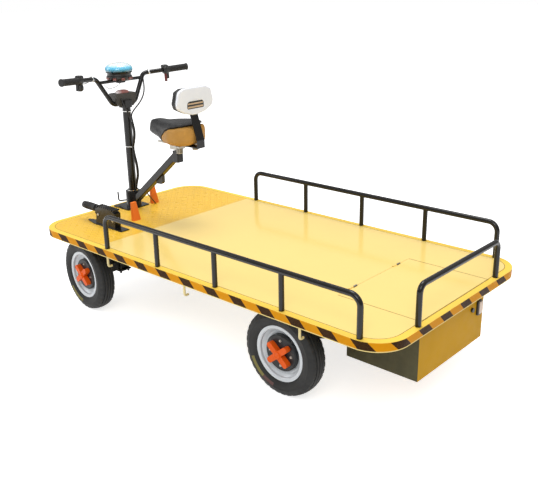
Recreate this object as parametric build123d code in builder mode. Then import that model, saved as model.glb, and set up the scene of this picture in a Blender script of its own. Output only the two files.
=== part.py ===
from build123d import *
import math
import os

# Electric platform truck: a flat deck on four tyred wheels, steered by a handlebar.
# Millimetres. +X is forwards, +Y is the driver's left, +Z is up.
# The origin is on the floor under the middle of the deck.

os.makedirs("parts", exist_ok=True)

# Deck and its rim
deck_length = 2000.0
deck_width = 1000.0
deck_corner_radius = 130.0
deck_height = 400.0
band_height = 35.5
band_thickness = 3.0
rim_flange_width = 28.0
rim_lip_width = 14.0
rim_lip_thickness = 2.5
ledge_start = 20.0
ledge_end = 34.0
ledge_thickness = 2.8
plate_thickness = 3.0
seam_gap = 0.6
tread_plate_setback = 470.0
front_end_x = deck_length / 2
rear_end_x = -deck_length / 2
tread_plate_x = front_end_x - tread_plate_setback

# Chassis members under the deck, just outside the hatch
hatch_width = 490.0
member_width = 40.0
rail_spread = hatch_width + member_width + 6.0
member_wall = 3.0

# Guard rails
tube_radius = 11.0
rail_inset = 17.0
rail_height = 150.0
rail_front_setback = 528.0
rail_rear_setback = 116.0
rail_posts = 5
rail_bend = 40.0
rear_rail_spread = 568.0
rear_rail_bend = 30.0

# Battery bay under the rear of the deck
bay_width = hatch_width - 15.0
bay_setback = 345.0
bay_front_x = rear_end_x + bay_setback
bay_floor_z = 157.0
bay_wall = 2.0
battery_gap = 8.0
battery_height = 165.0
hatch_setback = 385.0
hatch_front_x = rear_end_x + hatch_setback
hatch_gap = 1.5
hinge_radius = 3.5
hinge_pin_radius = 1.5
hinge_length = 24.0
hinge_spread = 300.0

# Wheels; the front pair is turned a little to the right at rest
front_axle_setback = 229.0
rear_axle_setback = 526.0
front_axle_x = front_end_x - front_axle_setback
rear_axle_x = rear_end_x + rear_axle_setback
rest_turn = -5.0
track = 772.0
wheel_radius = 176.0
tyre_half_width = 43.0
tyre_shoulder_radius = 163.0
tyre_shoulder_width = 35.0
tyre_belly_radius = 140.0
rim_radius = 113.7
bead_radius = 101.7
bead_offset = 30.0
rim_wall = 3.0
well_radius = 90.0
well_half_width = 10.0
drum_radius = 75.0
drum_face = 26.0
drum_back = 32.0
cross_face = 48.0
cross_reach = 60.0
cross_arm_width = 24.0
cross_turn = 40.0
spindle_radius = 15.0
running_gap = 0.05
seat_gap = 0.3

# Axles and springs
beam_size = 48.0
kingpin_y = 310.0
kingpin_radius = 10.0
eye_radius = 19.0
eye_half_height = 25.0
spring_reach = 180.0
spring_camber = 56.0
spring_width = 36.0
front_spring_y = 205.0
leaf_thickness = 6.0
steering_lock = 30.0

# Steering linkage
column_setback = 110.0
column_x = front_end_x - column_setback
pitman_reach = 75.0
track_arm_reach = 90.0
arm_thickness = 12.0
arm_width = 26.0
stud_radius = 6.0
open_pivot_gap = 0.5
link_eye_radius = 14.0
link_eye_height = 16.0
link_radius = 8.0

# Column and handlebar
column_radius = 20.5
shaft_radius = 14.0
housing_radius = 38.0
housing_top_z = deck_height + 88.0
column_top_z = deck_height + 515.0
bar_radius = 11.0
bar_low_z = column_top_z + 19.0
bar_low_y = 68.0
bar_x = column_x + 15.0
bar_top = (column_x + 33.0, 145.0, bar_low_z + 132.0)
bar_end = (column_x - 37.0, 383.0, bar_low_z + 146.0)
crossbar_z = bar_low_z + 112.0
crossbar_radius = 8.0
grip_length = 110.0
grip_radius = 16.0

# Seat
post_size = 34.0
post_foot_z = deck_height + 50.0
socket_setback = 367.0
socket_x = column_x - socket_setback
socket_top_z = deck_height + 346.0
post_top_z = socket_top_z - 18.0
saddle_bottom_z = socket_top_z + 40.0
backrest_setback = 143.0
backrest_x = socket_x - backrest_setback
backrest_depth = 24.0
backrest_pad_depth = 14.0

# Values worked out from those above
deck_plate_z = deck_height - plate_thickness
band_bottom_z = deck_height - band_height
member_bottom_z = band_bottom_z + rim_lip_thickness
member_height = deck_plate_z - member_bottom_z
tongue_height = member_height - ledge_thickness
plate_inset = rim_flange_width + seam_gap
rail_y = deck_width / 2 - rail_inset
rail_z = deck_height + rail_height
rear_rail_x = rear_end_x + rail_inset
bay_rear_x = rear_end_x + ledge_end + 1.0
rear_spring_y = rail_spread / 2
spring_seat_z = wheel_radius + beam_size / 2
leaf_z = spring_seat_z + 2.5 * leaf_thickness
spring_eye_z = leaf_z + spring_camber
spring_radius = (spring_reach ** 2 + spring_camber ** 2) / (2 * spring_camber)
ear_gap = 0.5
arm_bottom_z = wheel_radius - eye_half_height - ear_gap - arm_thickness - 1.5
arm_top_z = arm_bottom_z + arm_thickness
rest_sine = math.sin(math.radians(rest_turn))
rest_cosine = math.cos(math.radians(rest_turn))


def deck_outline(inset, mode=Mode.ADD):
    """Rounded outline of the deck, moved in by the inset."""
    RectangleRounded(
        deck_length - 2 * inset,
        deck_width - 2 * inset,
        deck_corner_radius - inset,
        mode=mode,
    )


# Rim: the channel round the deck's edge, with the ledge that the plates lie on
# columns: bottom height, outer inset, inner inset, thickness
rim_rings = (
    (band_bottom_z, 0.0, band_thickness, band_height),
    (deck_plate_z, 0.0, rim_flange_width, plate_thickness),
    (band_bottom_z, 0.0, rim_lip_width, rim_lip_thickness),
    (deck_plate_z - ledge_thickness, ledge_start, ledge_end, ledge_thickness),
)
with BuildPart() as rim_frame:
    for ring_z, outer_inset, inner_inset, ring_height in rim_rings:
        with BuildSketch(Plane.XY.offset(ring_z)):
            deck_outline(outer_inset)
            deck_outline(inner_inset, mode=Mode.SUBTRACT)
        extrude(amount=ring_height)
rim_frame.part.label = "rim_frame"
export_step(rim_frame.part, "parts/rim_frame.step")

# Deck plate, from the tread plate back, with the bay's opening at its rear edge
hinge_x = (hatch_front_x + hatch_front_x - hatch_gap) / 2
hinge_z = deck_height + 1.5
notch_length = 2 * hinge_length + 3.0
notch_width = 2 * hinge_radius + 4.0
with BuildPart() as deck_plate:
    with BuildSketch(Plane.XY.offset(deck_plate_z)):
        deck_outline(plate_inset)
        with Locations((tread_plate_x - seam_gap / 2, 0)):
            Rectangle(
                deck_length, deck_width, align=(Align.MIN, Align.CENTER), mode=Mode.SUBTRACT
            )
        with Locations((hatch_front_x, 0)):
            Rectangle(
                deck_length, hatch_width, align=(Align.MAX, Align.CENTER), mode=Mode.SUBTRACT
            )
        with Locations((hinge_x, -hinge_spread / 2), (hinge_x, hinge_spread / 2)):
            Rectangle(notch_width, notch_length, mode=Mode.SUBTRACT)
    extrude(amount=plate_thickness)
deck_plate.part.label = "deck_plate"
export_step(deck_plate.part, "parts/deck_plate.step")

# Tread plate over the front axle, pierced by the steering head
head_tube_radius = 22.0
with BuildPart() as tread_plate:
    with BuildSketch(Plane.XY.offset(deck_plate_z)):
        deck_outline(plate_inset)
        with Locations((tread_plate_x + seam_gap / 2, 0)):
            Rectangle(
                deck_length, deck_width, align=(Align.MAX, Align.CENTER), mode=Mode.SUBTRACT
            )
        with Locations((column_x, 0)):
            Circle(head_tube_radius + seat_gap, mode=Mode.SUBTRACT)
    extrude(amount=plate_thickness)
tread_plate.part.label = "tread_plate"
export_step(tread_plate.part, "parts/tread_plate.step")

# Chassis: two long rails and the cross members, each a channel open below
spring_hanger_width = 40.0
front_member_x = deck_length / 2 - ledge_end - 30.0
# columns: middle x, width, half length, true where it reaches the band
cross_members = (
    (bay_front_x + 30.0, 50.0, deck_width / 2, True),
    (-300.0, 30.0, deck_width / 2, True),
    (60.0, 30.0, deck_width / 2, True),
    (330.0, 30.0, deck_width / 2, True),
    (tread_plate_x, 40.0, deck_width / 2, True),
    (front_axle_x - spring_reach, member_width, rail_spread / 2, False),
    (column_x - 45.0, 30.0, rail_spread / 2, False),
    (front_member_x, 60.0, 340.0, False),
)
inner_length = deck_length / 2 - ledge_end
tongue_length = deck_length / 2 - band_thickness
inner_width = deck_width / 2 - ledge_end
tongue_width = deck_width / 2 - band_thickness
with BuildPart() as chassis_frame:
    with BuildSketch(Plane.XY.offset(member_bottom_z)):
        with Locations((0, -rail_spread / 2), (0, rail_spread / 2)):
            Rectangle(2 * tongue_length, member_width)
        for member_x, width, half_length, to_band in cross_members:
            with Locations((member_x, 0)):
                Rectangle(width, 2 * (tongue_width if to_band else half_length))
    extrude(amount=tongue_height)
    with BuildSketch(Plane.XY.offset(member_bottom_z + tongue_height)):
        with Locations((0, -rail_spread / 2), (0, rail_spread / 2)):
            Rectangle(2 * inner_length, member_width)
        for member_x, width, half_length, to_band in cross_members:
            with Locations((member_x, 0)):
                Rectangle(width, 2 * (inner_width if to_band else half_length))
    extrude(amount=ledge_thickness)
    with BuildSketch(Plane.XY.offset(member_bottom_z)):
        with Locations((0, -rail_spread / 2), (0, rail_spread / 2)):
            Rectangle(2 * (inner_length - member_wall), member_width - 2 * member_wall)
        for member_x, width, half_length, to_band in cross_members:
            with Locations((member_x, 0)):
                Rectangle(
                    width - 2 * member_wall,
                    2 * ((inner_width if to_band else half_length) - member_wall),
                )
    extrude(amount=member_height - member_wall, mode=Mode.SUBTRACT)
    with BuildSketch(Plane.XY.offset(member_bottom_z)):
        with Locations((column_x, 0)):
            Circle(head_tube_radius + seat_gap)
    extrude(amount=member_height, mode=Mode.SUBTRACT)
chassis_frame.part.label = "chassis_frame"
export_step(chassis_frame.part, "parts/chassis_frame.step")

# Side guard rails: a tube bent down at each end, with three posts between
rail_front_x = front_end_x - rail_front_setback
rail_pitch = (rail_front_x - rear_end_x - rail_rear_setback) / (rail_posts - 1)
post_xs = [rail_front_x - rail_pitch * index for index in range(rail_posts)]
for side_name, side in (("left", 1), ("right", -1)):
    rail_plane_y = side * rail_y
    with BuildPart() as side_rail:
        with BuildLine():
            FilletPolyline(
                (post_xs[-1], rail_plane_y, deck_height),
                (post_xs[-1], rail_plane_y, rail_z),
                (post_xs[0], rail_plane_y, rail_z),
                (post_xs[0], rail_plane_y, deck_height),
                radius=rail_bend,
            )
        with BuildSketch(Plane.XY.offset(deck_height)):
            with Locations((post_xs[-1], rail_plane_y)):
                Circle(tube_radius)
        sweep()
        with BuildSketch(Plane.XY.offset(deck_height)):
            with Locations([(post_x, rail_plane_y) for post_x in post_xs[1:-1]]):
                Circle(tube_radius - 0.5)
        extrude(amount=rail_height)
    side_rail.part.label = f"{side_name}_rail"
    export_step(side_rail.part, f"parts/{side_name}_rail.step")

# Rear guard rail: one low hoop across the tail
with BuildPart() as rear_rail:
    with BuildLine():
        FilletPolyline(
            (rear_rail_x, -rear_rail_spread / 2, deck_height),
            (rear_rail_x, -rear_rail_spread / 2, rail_z),
            (rear_rail_x, rear_rail_spread / 2, rail_z),
            (rear_rail_x, rear_rail_spread / 2, deck_height),
            radius=rear_rail_bend,
        )
    with BuildSketch(Plane.XY.offset(deck_height)):
        with Locations((rear_rail_x, -rear_rail_spread / 2)):
            Circle(tube_radius)
    sweep()
rear_rail.part.label = "rear_rail"
export_step(rear_rail.part, "parts/rear_rail.step")

# Rope hooks under the rim, three a side
hook_xs = (front_end_x - 535.0, -36.0, rear_end_x + 364.0)
hook_inset = 8.0
hook_drop = 46.0
hook_turn = 20.0
hook_radius = 5.0
hook_low_z = band_bottom_z - hook_drop
with BuildPart() as rope_hooks:
    for side in (1, -1):
        hook_y = side * (deck_width / 2 - hook_inset)
        for hook_x in hook_xs:
            with BuildLine():
                FilletPolyline(
                    (hook_x, hook_y, band_bottom_z),
                    (hook_x, hook_y, hook_low_z),
                    (hook_x, hook_y - side * hook_turn, hook_low_z),
                    radius=2 * hook_radius,
                )
            with BuildSketch(Plane.XY.offset(band_bottom_z)):
                with Locations((hook_x, hook_y)):
                    Circle(hook_radius)
            sweep()
rope_hooks.part.label = "rope_hooks"
export_step(rope_hooks.part, "parts/rope_hooks.step")

# Battery bay: an open-topped sheet box whose lips reach the chassis members
bay_x = (bay_rear_x + bay_front_x) / 2
bay_length = bay_front_x - bay_rear_x
bay_height = deck_plate_z - bay_floor_z
lip_half_width = (rail_spread - member_width) / 2
lip_front_x = bay_front_x + 5.0
with BuildPart() as battery_bay:
    with BuildSketch(Plane.XY.offset(bay_floor_z)):
        with Locations((bay_x, 0)):
            Rectangle(bay_length, bay_width)
    extrude(amount=bay_height)
    with BuildSketch(Plane.XY.offset(deck_plate_z - bay_wall)):
        with Locations((bay_rear_x, 0)):
            Rectangle(
                lip_front_x - bay_rear_x, 2 * lip_half_width, align=(Align.MIN, Align.CENTER)
            )
    extrude(amount=bay_wall)
    with BuildSketch(Plane.XY.offset(bay_floor_z + bay_wall)):
        with Locations((bay_x, 0)):
            Rectangle(bay_length - 2 * bay_wall, bay_width - 2 * bay_wall)
    extrude(amount=bay_height, mode=Mode.SUBTRACT)
battery_bay.part.label = "battery_bay"
export_step(battery_bay.part, "parts/battery_bay.step")

# Battery pack: the heavy block that fills the bay
with BuildPart() as battery_pack:
    with BuildSketch(Plane.XY.offset(bay_floor_z + bay_wall)):
        with Locations((bay_x, 0)):
            Rectangle(
                bay_length - 2 * (bay_wall + battery_gap), bay_width - 2 * (bay_wall + battery_gap)
            )
    extrude(amount=battery_height)
battery_pack.part.label = "battery_pack"
export_step(battery_pack.part, "parts/battery_pack.step")

# Charging socket and key switch on the bay's rear wall
socket_y = -bay_width / 2 + 41.5
socket_z = bay_floor_z + 141.0
socket_width = 34.0
socket_height = 60.0
socket_depth = 8.0
key_y = socket_y + 53.0
key_z = socket_z + 6.0
key_radius = 9.0
rear_wall = Plane(origin=(bay_rear_x, 0, 0), x_dir=(0, 1, 0), z_dir=(-1, 0, 0))
with BuildPart() as charge_socket:
    with BuildSketch(rear_wall):
        with Locations((socket_y, -socket_z)):
            RectangleRounded(socket_width, socket_height, 6.0)
        with Locations((key_y, -key_z)):
            Circle(key_radius)
    extrude(amount=socket_depth)
charge_socket.part.label = "charge_socket"
export_step(charge_socket.part, "parts/charge_socket.step")

# Hatch over the bay, hinged along its front seam, with two stiffeners below
hatch_rear_x = rear_end_x + plate_inset
hatch_length = hatch_front_x - hatch_gap - hatch_rear_x
stiffener_height = 14.0
stiffener_wall = 3.0
stiffener_length = 0.92 * bay_length
stiffener_y = bay_width / 4
with BuildPart() as hatch:
    with BuildSketch(Plane.XY.offset(deck_plate_z)):
        with Locations((hatch_rear_x, 0)):
            Rectangle(
                hatch_length, hatch_width - 2 * hatch_gap, align=(Align.MIN, Align.CENTER)
            )
        with Locations((hinge_x, -hinge_spread / 2), (hinge_x, hinge_spread / 2)):
            Rectangle(notch_width, notch_length, mode=Mode.SUBTRACT)
        with Locations(
            (hinge_x, -hinge_spread / 2 + hinge_length / 2 + 0.5),
            (hinge_x, hinge_spread / 2 + hinge_length / 2 + 0.5),
        ):
            Rectangle(notch_width, hinge_length, align=(Align.MAX, Align.CENTER))
    extrude(amount=plate_thickness)
    with BuildSketch(Plane.XY.offset(deck_plate_z - stiffener_height)):
        with Locations((bay_x, -stiffener_y), (bay_x, stiffener_y)):
            Rectangle(stiffener_length, stiffener_wall)
    extrude(amount=stiffener_height)
    with BuildSketch(Plane.XZ.offset(-hinge_spread / 2 - hinge_length - 0.5)):
        with Locations((hinge_x, hinge_z)):
            Circle(hinge_radius)
    extrude(amount=hinge_length)
    with BuildSketch(Plane.XZ.offset(hinge_spread / 2 - hinge_length - 0.5)):
        with Locations((hinge_x, hinge_z)):
            Circle(hinge_radius)
    extrude(amount=hinge_length)
    with BuildSketch(Plane.XZ.offset(-deck_width / 2)):
        with Locations((hinge_x, hinge_z)):
            Circle(hinge_pin_radius + running_gap)
    extrude(amount=deck_width, mode=Mode.SUBTRACT)
hatch.part.label = "hatch"
export_step(hatch.part, "parts/hatch.step")

# Fixed halves of the two hatch hinges, with their pins
with BuildPart() as hatch_hinges:
    for hinge_y in (-hinge_spread / 2, hinge_spread / 2):
        with BuildSketch(Plane.XZ.offset(-hinge_y + 0.5)):
            with Locations((hinge_x, hinge_z)):
                Circle(hinge_radius)
            with Locations((hinge_x, deck_plate_z)):
                Rectangle(
                    hinge_radius + 1.5, hinge_z - deck_plate_z, align=(Align.MIN, Align.MIN)
                )
        extrude(amount=hinge_length)
        with BuildSketch(Plane.XZ.offset(-hinge_y - hinge_length)):
            with Locations((hinge_x, hinge_z)):
                Circle(hinge_pin_radius)
        extrude(amount=hinge_length + 1.0)
hatch_hinges.part.label = "hatch_hinges"
export_step(hatch_hinges.part, "parts/hatch_hinges.step")

# Wheels
# columns: name, axle x, side, sine and cosine of its turn at rest
wheels = (
    ("front_left", front_axle_x, 1, rest_sine, rest_cosine),
    ("front_right", front_axle_x, -1, rest_sine, rest_cosine),
    ("rear_left", rear_axle_x, 1, 0.0, 1.0),
    ("rear_right", rear_axle_x, -1, 0.0, 1.0),
)
wheel_reach = track / 2 - kingpin_y
bead_face = bead_offset - seat_gap
for wheel_name, axle_x, side, sine, cosine in wheels:
    centre = (
        axle_x - side * wheel_reach * sine,
        side * (kingpin_y + wheel_reach * cosine),
        wheel_radius,
    )
    spin_axis = Axis(centre, (-sine, cosine, 0))
    section = Plane(origin=centre, x_dir=(0, 0, 1), z_dir=(-side * cosine, -side * sine, 0))
    face_plane = Plane(
        origin=centre, x_dir=(side * cosine, side * sine, 0), z_dir=(-side * sine, side * cosine, 0)
    )

    # Tyre section: radius, then distance outboard of the wheel's middle plane
    with BuildPart() as tyre:
        with BuildSketch(section):
            with BuildLine():
                ThreePointArc(
                    (tyre_shoulder_radius, -tyre_shoulder_width),
                    (wheel_radius, 0),
                    (tyre_shoulder_radius, tyre_shoulder_width),
                )
                ThreePointArc(
                    (tyre_shoulder_radius, tyre_shoulder_width),
                    (tyre_belly_radius, tyre_half_width),
                    (rim_radius + 2.0, bead_face),
                )
                Polyline(
                    (rim_radius + 2.0, bead_face),
                    (bead_radius + seat_gap, bead_face),
                    (bead_radius + seat_gap, -bead_face),
                    (rim_radius + 2.0, -bead_face),
                )
                ThreePointArc(
                    (rim_radius + 2.0, -bead_face),
                    (tyre_belly_radius, -tyre_half_width),
                    (tyre_shoulder_radius, -tyre_shoulder_width),
                )
            make_face()
        revolve(axis=spin_axis)
    tyre.part.label = f"{wheel_name}_tyre"
    export_step(tyre.part, f"parts/{wheel_name}_tyre.step")

    # Rim: flanges, bead seats, drop centre and the dished disc
    flange_face = bead_offset + rim_wall
    with BuildPart() as rim:
        with BuildSketch(section):
            with BuildLine():
                Polyline(
                    (rim_radius, flange_face),
                    (rim_radius, bead_offset),
                    (bead_radius, bead_offset),
                    (bead_radius, bead_offset - 11.0),
                    (well_radius, well_half_width),
                    (well_radius, -well_half_width),
                    (bead_radius, -bead_offset + 11.0),
                    (bead_radius, -bead_offset),
                    (rim_radius, -bead_offset),
                    (rim_radius, -flange_face),
                    (bead_radius - rim_wall, -flange_face),
                    (bead_radius - rim_wall, -bead_offset + 11.0 - rim_wall / 2),
                    (well_radius - rim_wall, -well_half_width),
                    (well_radius - rim_wall, well_half_width - rim_wall),
                    (drum_radius + seat_gap, well_half_width - 2 * rim_wall),
                    (drum_radius + seat_gap, well_half_width - rim_wall),
                    (well_radius - rim_wall, well_half_width + 1.0),
                    (bead_radius - rim_wall, bead_offset - 9.0),
                    (bead_radius - rim_wall, flange_face - 3.0),
                    (bead_radius, flange_face),
                    close=True,
                )
            make_face()
        revolve(axis=spin_axis)
    rim.part.label = f"{wheel_name}_rim"
    export_step(rim.part, f"parts/{wheel_name}_rim.step")

    # Brake drum and hub in one casting, bored for the spindle
    bore_radius = spindle_radius + running_gap
    bore_end = 10.0
    with BuildPart() as hub:
        with BuildSketch(section):
            with BuildLine():
                Polyline(
                    (0, bore_end),
                    (bore_radius, bore_end),
                    (bore_radius, -drum_back + 6.0),
                    (30.0, -drum_back + 6.0),
                    (30.0, 0.0),
                    (drum_radius - 6.0, 0.0),
                    (drum_radius - 6.0, -drum_back),
                    (drum_radius, -drum_back),
                    (drum_radius, drum_face - 4.0),
                    (drum_radius - 4.0, drum_face),
                    (0, drum_face),
                    close=True,
                )
            make_face()
        revolve(axis=spin_axis)
    hub.part.label = f"{wheel_name}_hub"
    export_step(hub.part, f"parts/{wheel_name}_hub.step")

    # Four-armed hub cover
    with BuildPart() as hub_cover:
        with BuildSketch(face_plane.offset(drum_face)):
            SlotOverall(2 * cross_reach, cross_arm_width, rotation=cross_turn)
            SlotOverall(2 * cross_reach, cross_arm_width, rotation=-cross_turn)
            Circle(0.75 * cross_arm_width)
        extrude(amount=cross_face - drum_face)
    hub_cover.part.label = f"{wheel_name}_hub_cover"
    export_step(hub_cover.part, f"parts/{wheel_name}_hub_cover.step")

# Leaf springs with their clamps
# columns: name, axle x, spring y
spring_pairs = (
    ("front_springs", front_axle_x, front_spring_y),
    ("rear_springs", rear_axle_x, rear_spring_y),
)
# columns: leaf number from the top, half length
leaves = ((0, spring_reach), (1, 0.7 * spring_reach), (2, 0.42 * spring_reach))
eye_outer = 11.0
eye_bore = 6.0
clamp_x = 30.0
clamp_rod = 5.0
clamp_plate = 6.0
for pair_name, axle_x, spring_y in spring_pairs:
    with BuildPart() as springs:
        for side in (1, -1):
            middle_y = side * spring_y
            leaf_plane = Plane(
                origin=(axle_x, middle_y + spring_width / 2, 0), x_dir=(1, 0, 0), z_dir=(0, -1, 0)
            )
            for number, reach in leaves:
                inner = spring_radius + (number - 0.5) * leaf_thickness
                outer = inner + leaf_thickness
                turn = math.asin(reach / (spring_radius + number * leaf_thickness))
                centre_z = leaf_z + spring_radius
                with BuildSketch(leaf_plane):
                    with BuildLine():
                        ends = []
                        for radius in (inner, outer):
                            left = (-radius * math.sin(turn), centre_z - radius * math.cos(turn))
                            right = (radius * math.sin(turn), centre_z - radius * math.cos(turn))
                            ThreePointArc(left, (0, centre_z - radius), right)
                            ends.append((left, right))
                        Line(ends[0][0], ends[1][0])
                        Line(ends[0][1], ends[1][1])
                    make_face()
                extrude(amount=spring_width)
            with BuildSketch(leaf_plane):
                with Locations((-spring_reach, spring_eye_z), (spring_reach, spring_eye_z)):
                    Circle(eye_outer)
                with Locations((0, spring_seat_z)):
                    Rectangle(2 * clamp_x - 8.0, leaf_thickness, align=(Align.CENTER, Align.MIN))
            extrude(amount=spring_width)
            with BuildSketch(leaf_plane):
                with Locations((-spring_reach, spring_eye_z), (spring_reach, spring_eye_z)):
                    Circle(eye_bore)
            extrude(amount=spring_width, mode=Mode.SUBTRACT)
            clamp_top_z = leaf_z + leaf_thickness / 2
            clamp_low_z = wheel_radius - beam_size / 2 - clamp_plate
            leg_y = spring_width / 2 + clamp_rod
            with BuildSketch(Plane.XY.offset(clamp_low_z - 10.0)):
                with Locations((axle_x, middle_y)):
                    with GridLocations(2 * clamp_x, 2 * leg_y, 2, 2):
                        Circle(clamp_rod)
            extrude(amount=clamp_top_z - clamp_low_z + 10.0 + 2 * clamp_rod)
            with BuildSketch(Plane.XY.offset(clamp_top_z)):
                with Locations((axle_x - clamp_x, middle_y), (axle_x + clamp_x, middle_y)):
                    Rectangle(2 * clamp_rod, 2 * leg_y)
            extrude(amount=2 * clamp_rod)
            with BuildSketch(Plane.XY.offset(clamp_low_z)):
                with Locations((axle_x, middle_y)):
                    Rectangle(2 * clamp_x + 20.0, 2 * leg_y + 20.0)
            extrude(amount=clamp_plate)
    springs.part.label = pair_name
    export_step(springs.part, f"parts/{pair_name}.step")

# Spring hangers: two ears and a pin under the chassis at each spring eye
ear_thickness = 5.0
ear_offset = spring_width / 2 + 1.0
hanger_plate = 4.0
hanger_length = 48.0
with BuildPart() as spring_hangers:
    for pair_name, axle_x, spring_y in spring_pairs:
        for side in (1, -1):
            for end in (1, -1):
                eye_x = axle_x + end * spring_reach
                middle_y = side * spring_y
                with BuildSketch(Plane.XY.offset(member_bottom_z - hanger_plate)):
                    with Locations((eye_x, middle_y)):
                        Rectangle(hanger_length, 2 * (ear_offset + ear_thickness))
                extrude(amount=hanger_plate)
                for ear_side in (1, -1):
                    ear_y = middle_y + ear_side * (ear_offset + ear_thickness / 2)
                    ear_plane = Plane(
                        origin=(eye_x, ear_y + ear_thickness / 2, 0),
                        x_dir=(1, 0, 0),
                        z_dir=(0, -1, 0),
                    )
                    with BuildSketch(ear_plane):
                        with BuildLine():
                            Polyline(
                                (-hanger_length / 2, member_bottom_z - hanger_plate),
                                (hanger_length / 2, member_bottom_z - hanger_plate),
                                (12.0, spring_eye_z - 12.0),
                                (-12.0, spring_eye_z - 12.0),
                                close=True,
                            )
                        make_face()
                    extrude(amount=ear_thickness)
                pin_plane = Plane(
                    origin=(eye_x, middle_y + ear_offset + ear_thickness + 4.0, spring_eye_z),
                    x_dir=(1, 0, 0),
                    z_dir=(0, -1, 0),
                )
                with BuildSketch(pin_plane):
                    Circle(eye_bore - seat_gap)
                extrude(amount=2 * (ear_offset + ear_thickness + 4.0))
spring_hangers.part.label = "spring_hangers"
export_step(spring_hangers.part, "parts/spring_hangers.step")

# Front axle: a square beam with an upright eye for each kingpin
beam_end_y = kingpin_y - eye_radius + 8.0
with BuildPart() as front_axle:
    with BuildSketch(Plane.XZ.offset(-beam_end_y)):
        with Locations((front_axle_x, wheel_radius)):
            RectangleRounded(beam_size, beam_size, 5.0)
    extrude(amount=2 * beam_end_y)
    with BuildSketch(Plane.XY.offset(wheel_radius - eye_half_height)):
        with Locations((front_axle_x, -kingpin_y), (front_axle_x, kingpin_y)):
            Circle(eye_radius)
    extrude(amount=2 * eye_half_height)
    with BuildSketch(Plane.XY.offset(wheel_radius - eye_half_height)):
        with Locations((front_axle_x, -kingpin_y), (front_axle_x, kingpin_y)):
            Circle(kingpin_radius + running_gap)
    extrude(amount=2 * eye_half_height, mode=Mode.SUBTRACT)
front_axle.part.label = "front_axle"
export_step(front_axle.part, "parts/front_axle.step")

# Knuckles: a fork round the axle eye, the spindle, the brake plate and the forward arms
web_inner = 21.0
web_thickness = 7.0
brake_plate_radius = drum_radius - 7.0
brake_plate_thickness = 3.0
stud_height = link_eye_height + 4.0
spindle_length = wheel_reach + bore_end - 2.0
fork_half_height = eye_half_height + ear_gap + arm_thickness + 1.5
fork_top_z = wheel_radius + eye_half_height + ear_gap + 1.5
for side_name, side in (("left", 1), ("right", -1)):
    pin = (front_axle_x, side * kingpin_y)
    turned_x = (rest_cosine, rest_sine, 0)
    arm_plane = Plane(origin=(*pin, arm_bottom_z), x_dir=turned_x, z_dir=(0, 0, 1))
    fork_plane = Plane(origin=(*pin, fork_top_z), x_dir=turned_x, z_dir=(0, 0, 1))
    out_plane = Plane(
        origin=(*pin, wheel_radius),
        x_dir=(side * rest_cosine, side * rest_sine, 0),
        z_dir=(-side * rest_sine, side * rest_cosine, 0),
    )
    with BuildPart() as knuckle:
        for ear_plane in (arm_plane, fork_plane):
            with BuildSketch(ear_plane):
                Circle(eye_radius)
                with Locations((0, side * (web_inner + web_thickness) / 2)):
                    Rectangle(2 * eye_radius, web_inner + web_thickness)
            extrude(amount=arm_thickness)
        with BuildSketch(arm_plane):
            with Locations((0, side * (web_inner + web_thickness / 2))):
                Rectangle(2 * eye_radius, web_thickness)
        extrude(amount=2 * fork_half_height)
        with BuildSketch(arm_plane):
            Circle(kingpin_radius)
        extrude(amount=2 * fork_half_height)
        with BuildSketch(out_plane.offset(web_inner)):
            Circle(spindle_radius)
        extrude(amount=spindle_length - web_inner)
        with BuildSketch(out_plane.offset(wheel_reach - drum_back - 7.0)):
            Circle(brake_plate_radius)
        extrude(amount=brake_plate_thickness)
        with BuildSketch(arm_plane):
            with Locations((track_arm_reach / 2, 0)):
                SlotCenterToCenter(track_arm_reach, arm_width)
        extrude(amount=arm_thickness)
        with BuildSketch(arm_plane):
            with Locations((track_arm_reach, 0)):
                Circle(stud_radius)
        extrude(amount=-stud_height)
        if side == 1:
            with BuildSketch(arm_plane.offset(arm_thickness)):
                with Locations((pitman_reach, 0)):
                    Circle(stud_radius)
            extrude(amount=stud_height)
    knuckle.part.label = f"{side_name}_knuckle"
    export_step(knuckle.part, f"parts/{side_name}_knuckle.step")

# Track rod: joins the two forward arms; its right eye is the looser one
track_rod_x = front_axle_x + track_arm_reach * rest_cosine
track_rod_y = track_arm_reach * rest_sine
track_rod_z = arm_bottom_z - 2.0 - link_eye_height
track_rod_end = kingpin_y - link_eye_radius + 2.0
with BuildPart() as track_rod:
    with BuildSketch(Plane.XY.offset(track_rod_z)):
        with Locations((track_rod_x, track_rod_y - kingpin_y), (track_rod_x, track_rod_y + kingpin_y)):
            Circle(link_eye_radius)
    extrude(amount=link_eye_height)
    with BuildSketch(Plane.XZ.offset(-track_rod_y - track_rod_end)):
        with Locations((track_rod_x, track_rod_z + link_eye_height / 2)):
            Circle(link_radius)
    extrude(amount=2 * track_rod_end)
    with BuildSketch(Plane.XY.offset(track_rod_z)):
        with Locations((track_rod_x, track_rod_y + kingpin_y)):
            Circle(stud_radius + running_gap)
        with Locations((track_rod_x, track_rod_y - kingpin_y)):
            Circle(stud_radius + open_pivot_gap)
    extrude(amount=link_eye_height, mode=Mode.SUBTRACT)
track_rod.part.label = "track_rod"
export_step(track_rod.part, "parts/track_rod.step")

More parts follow.
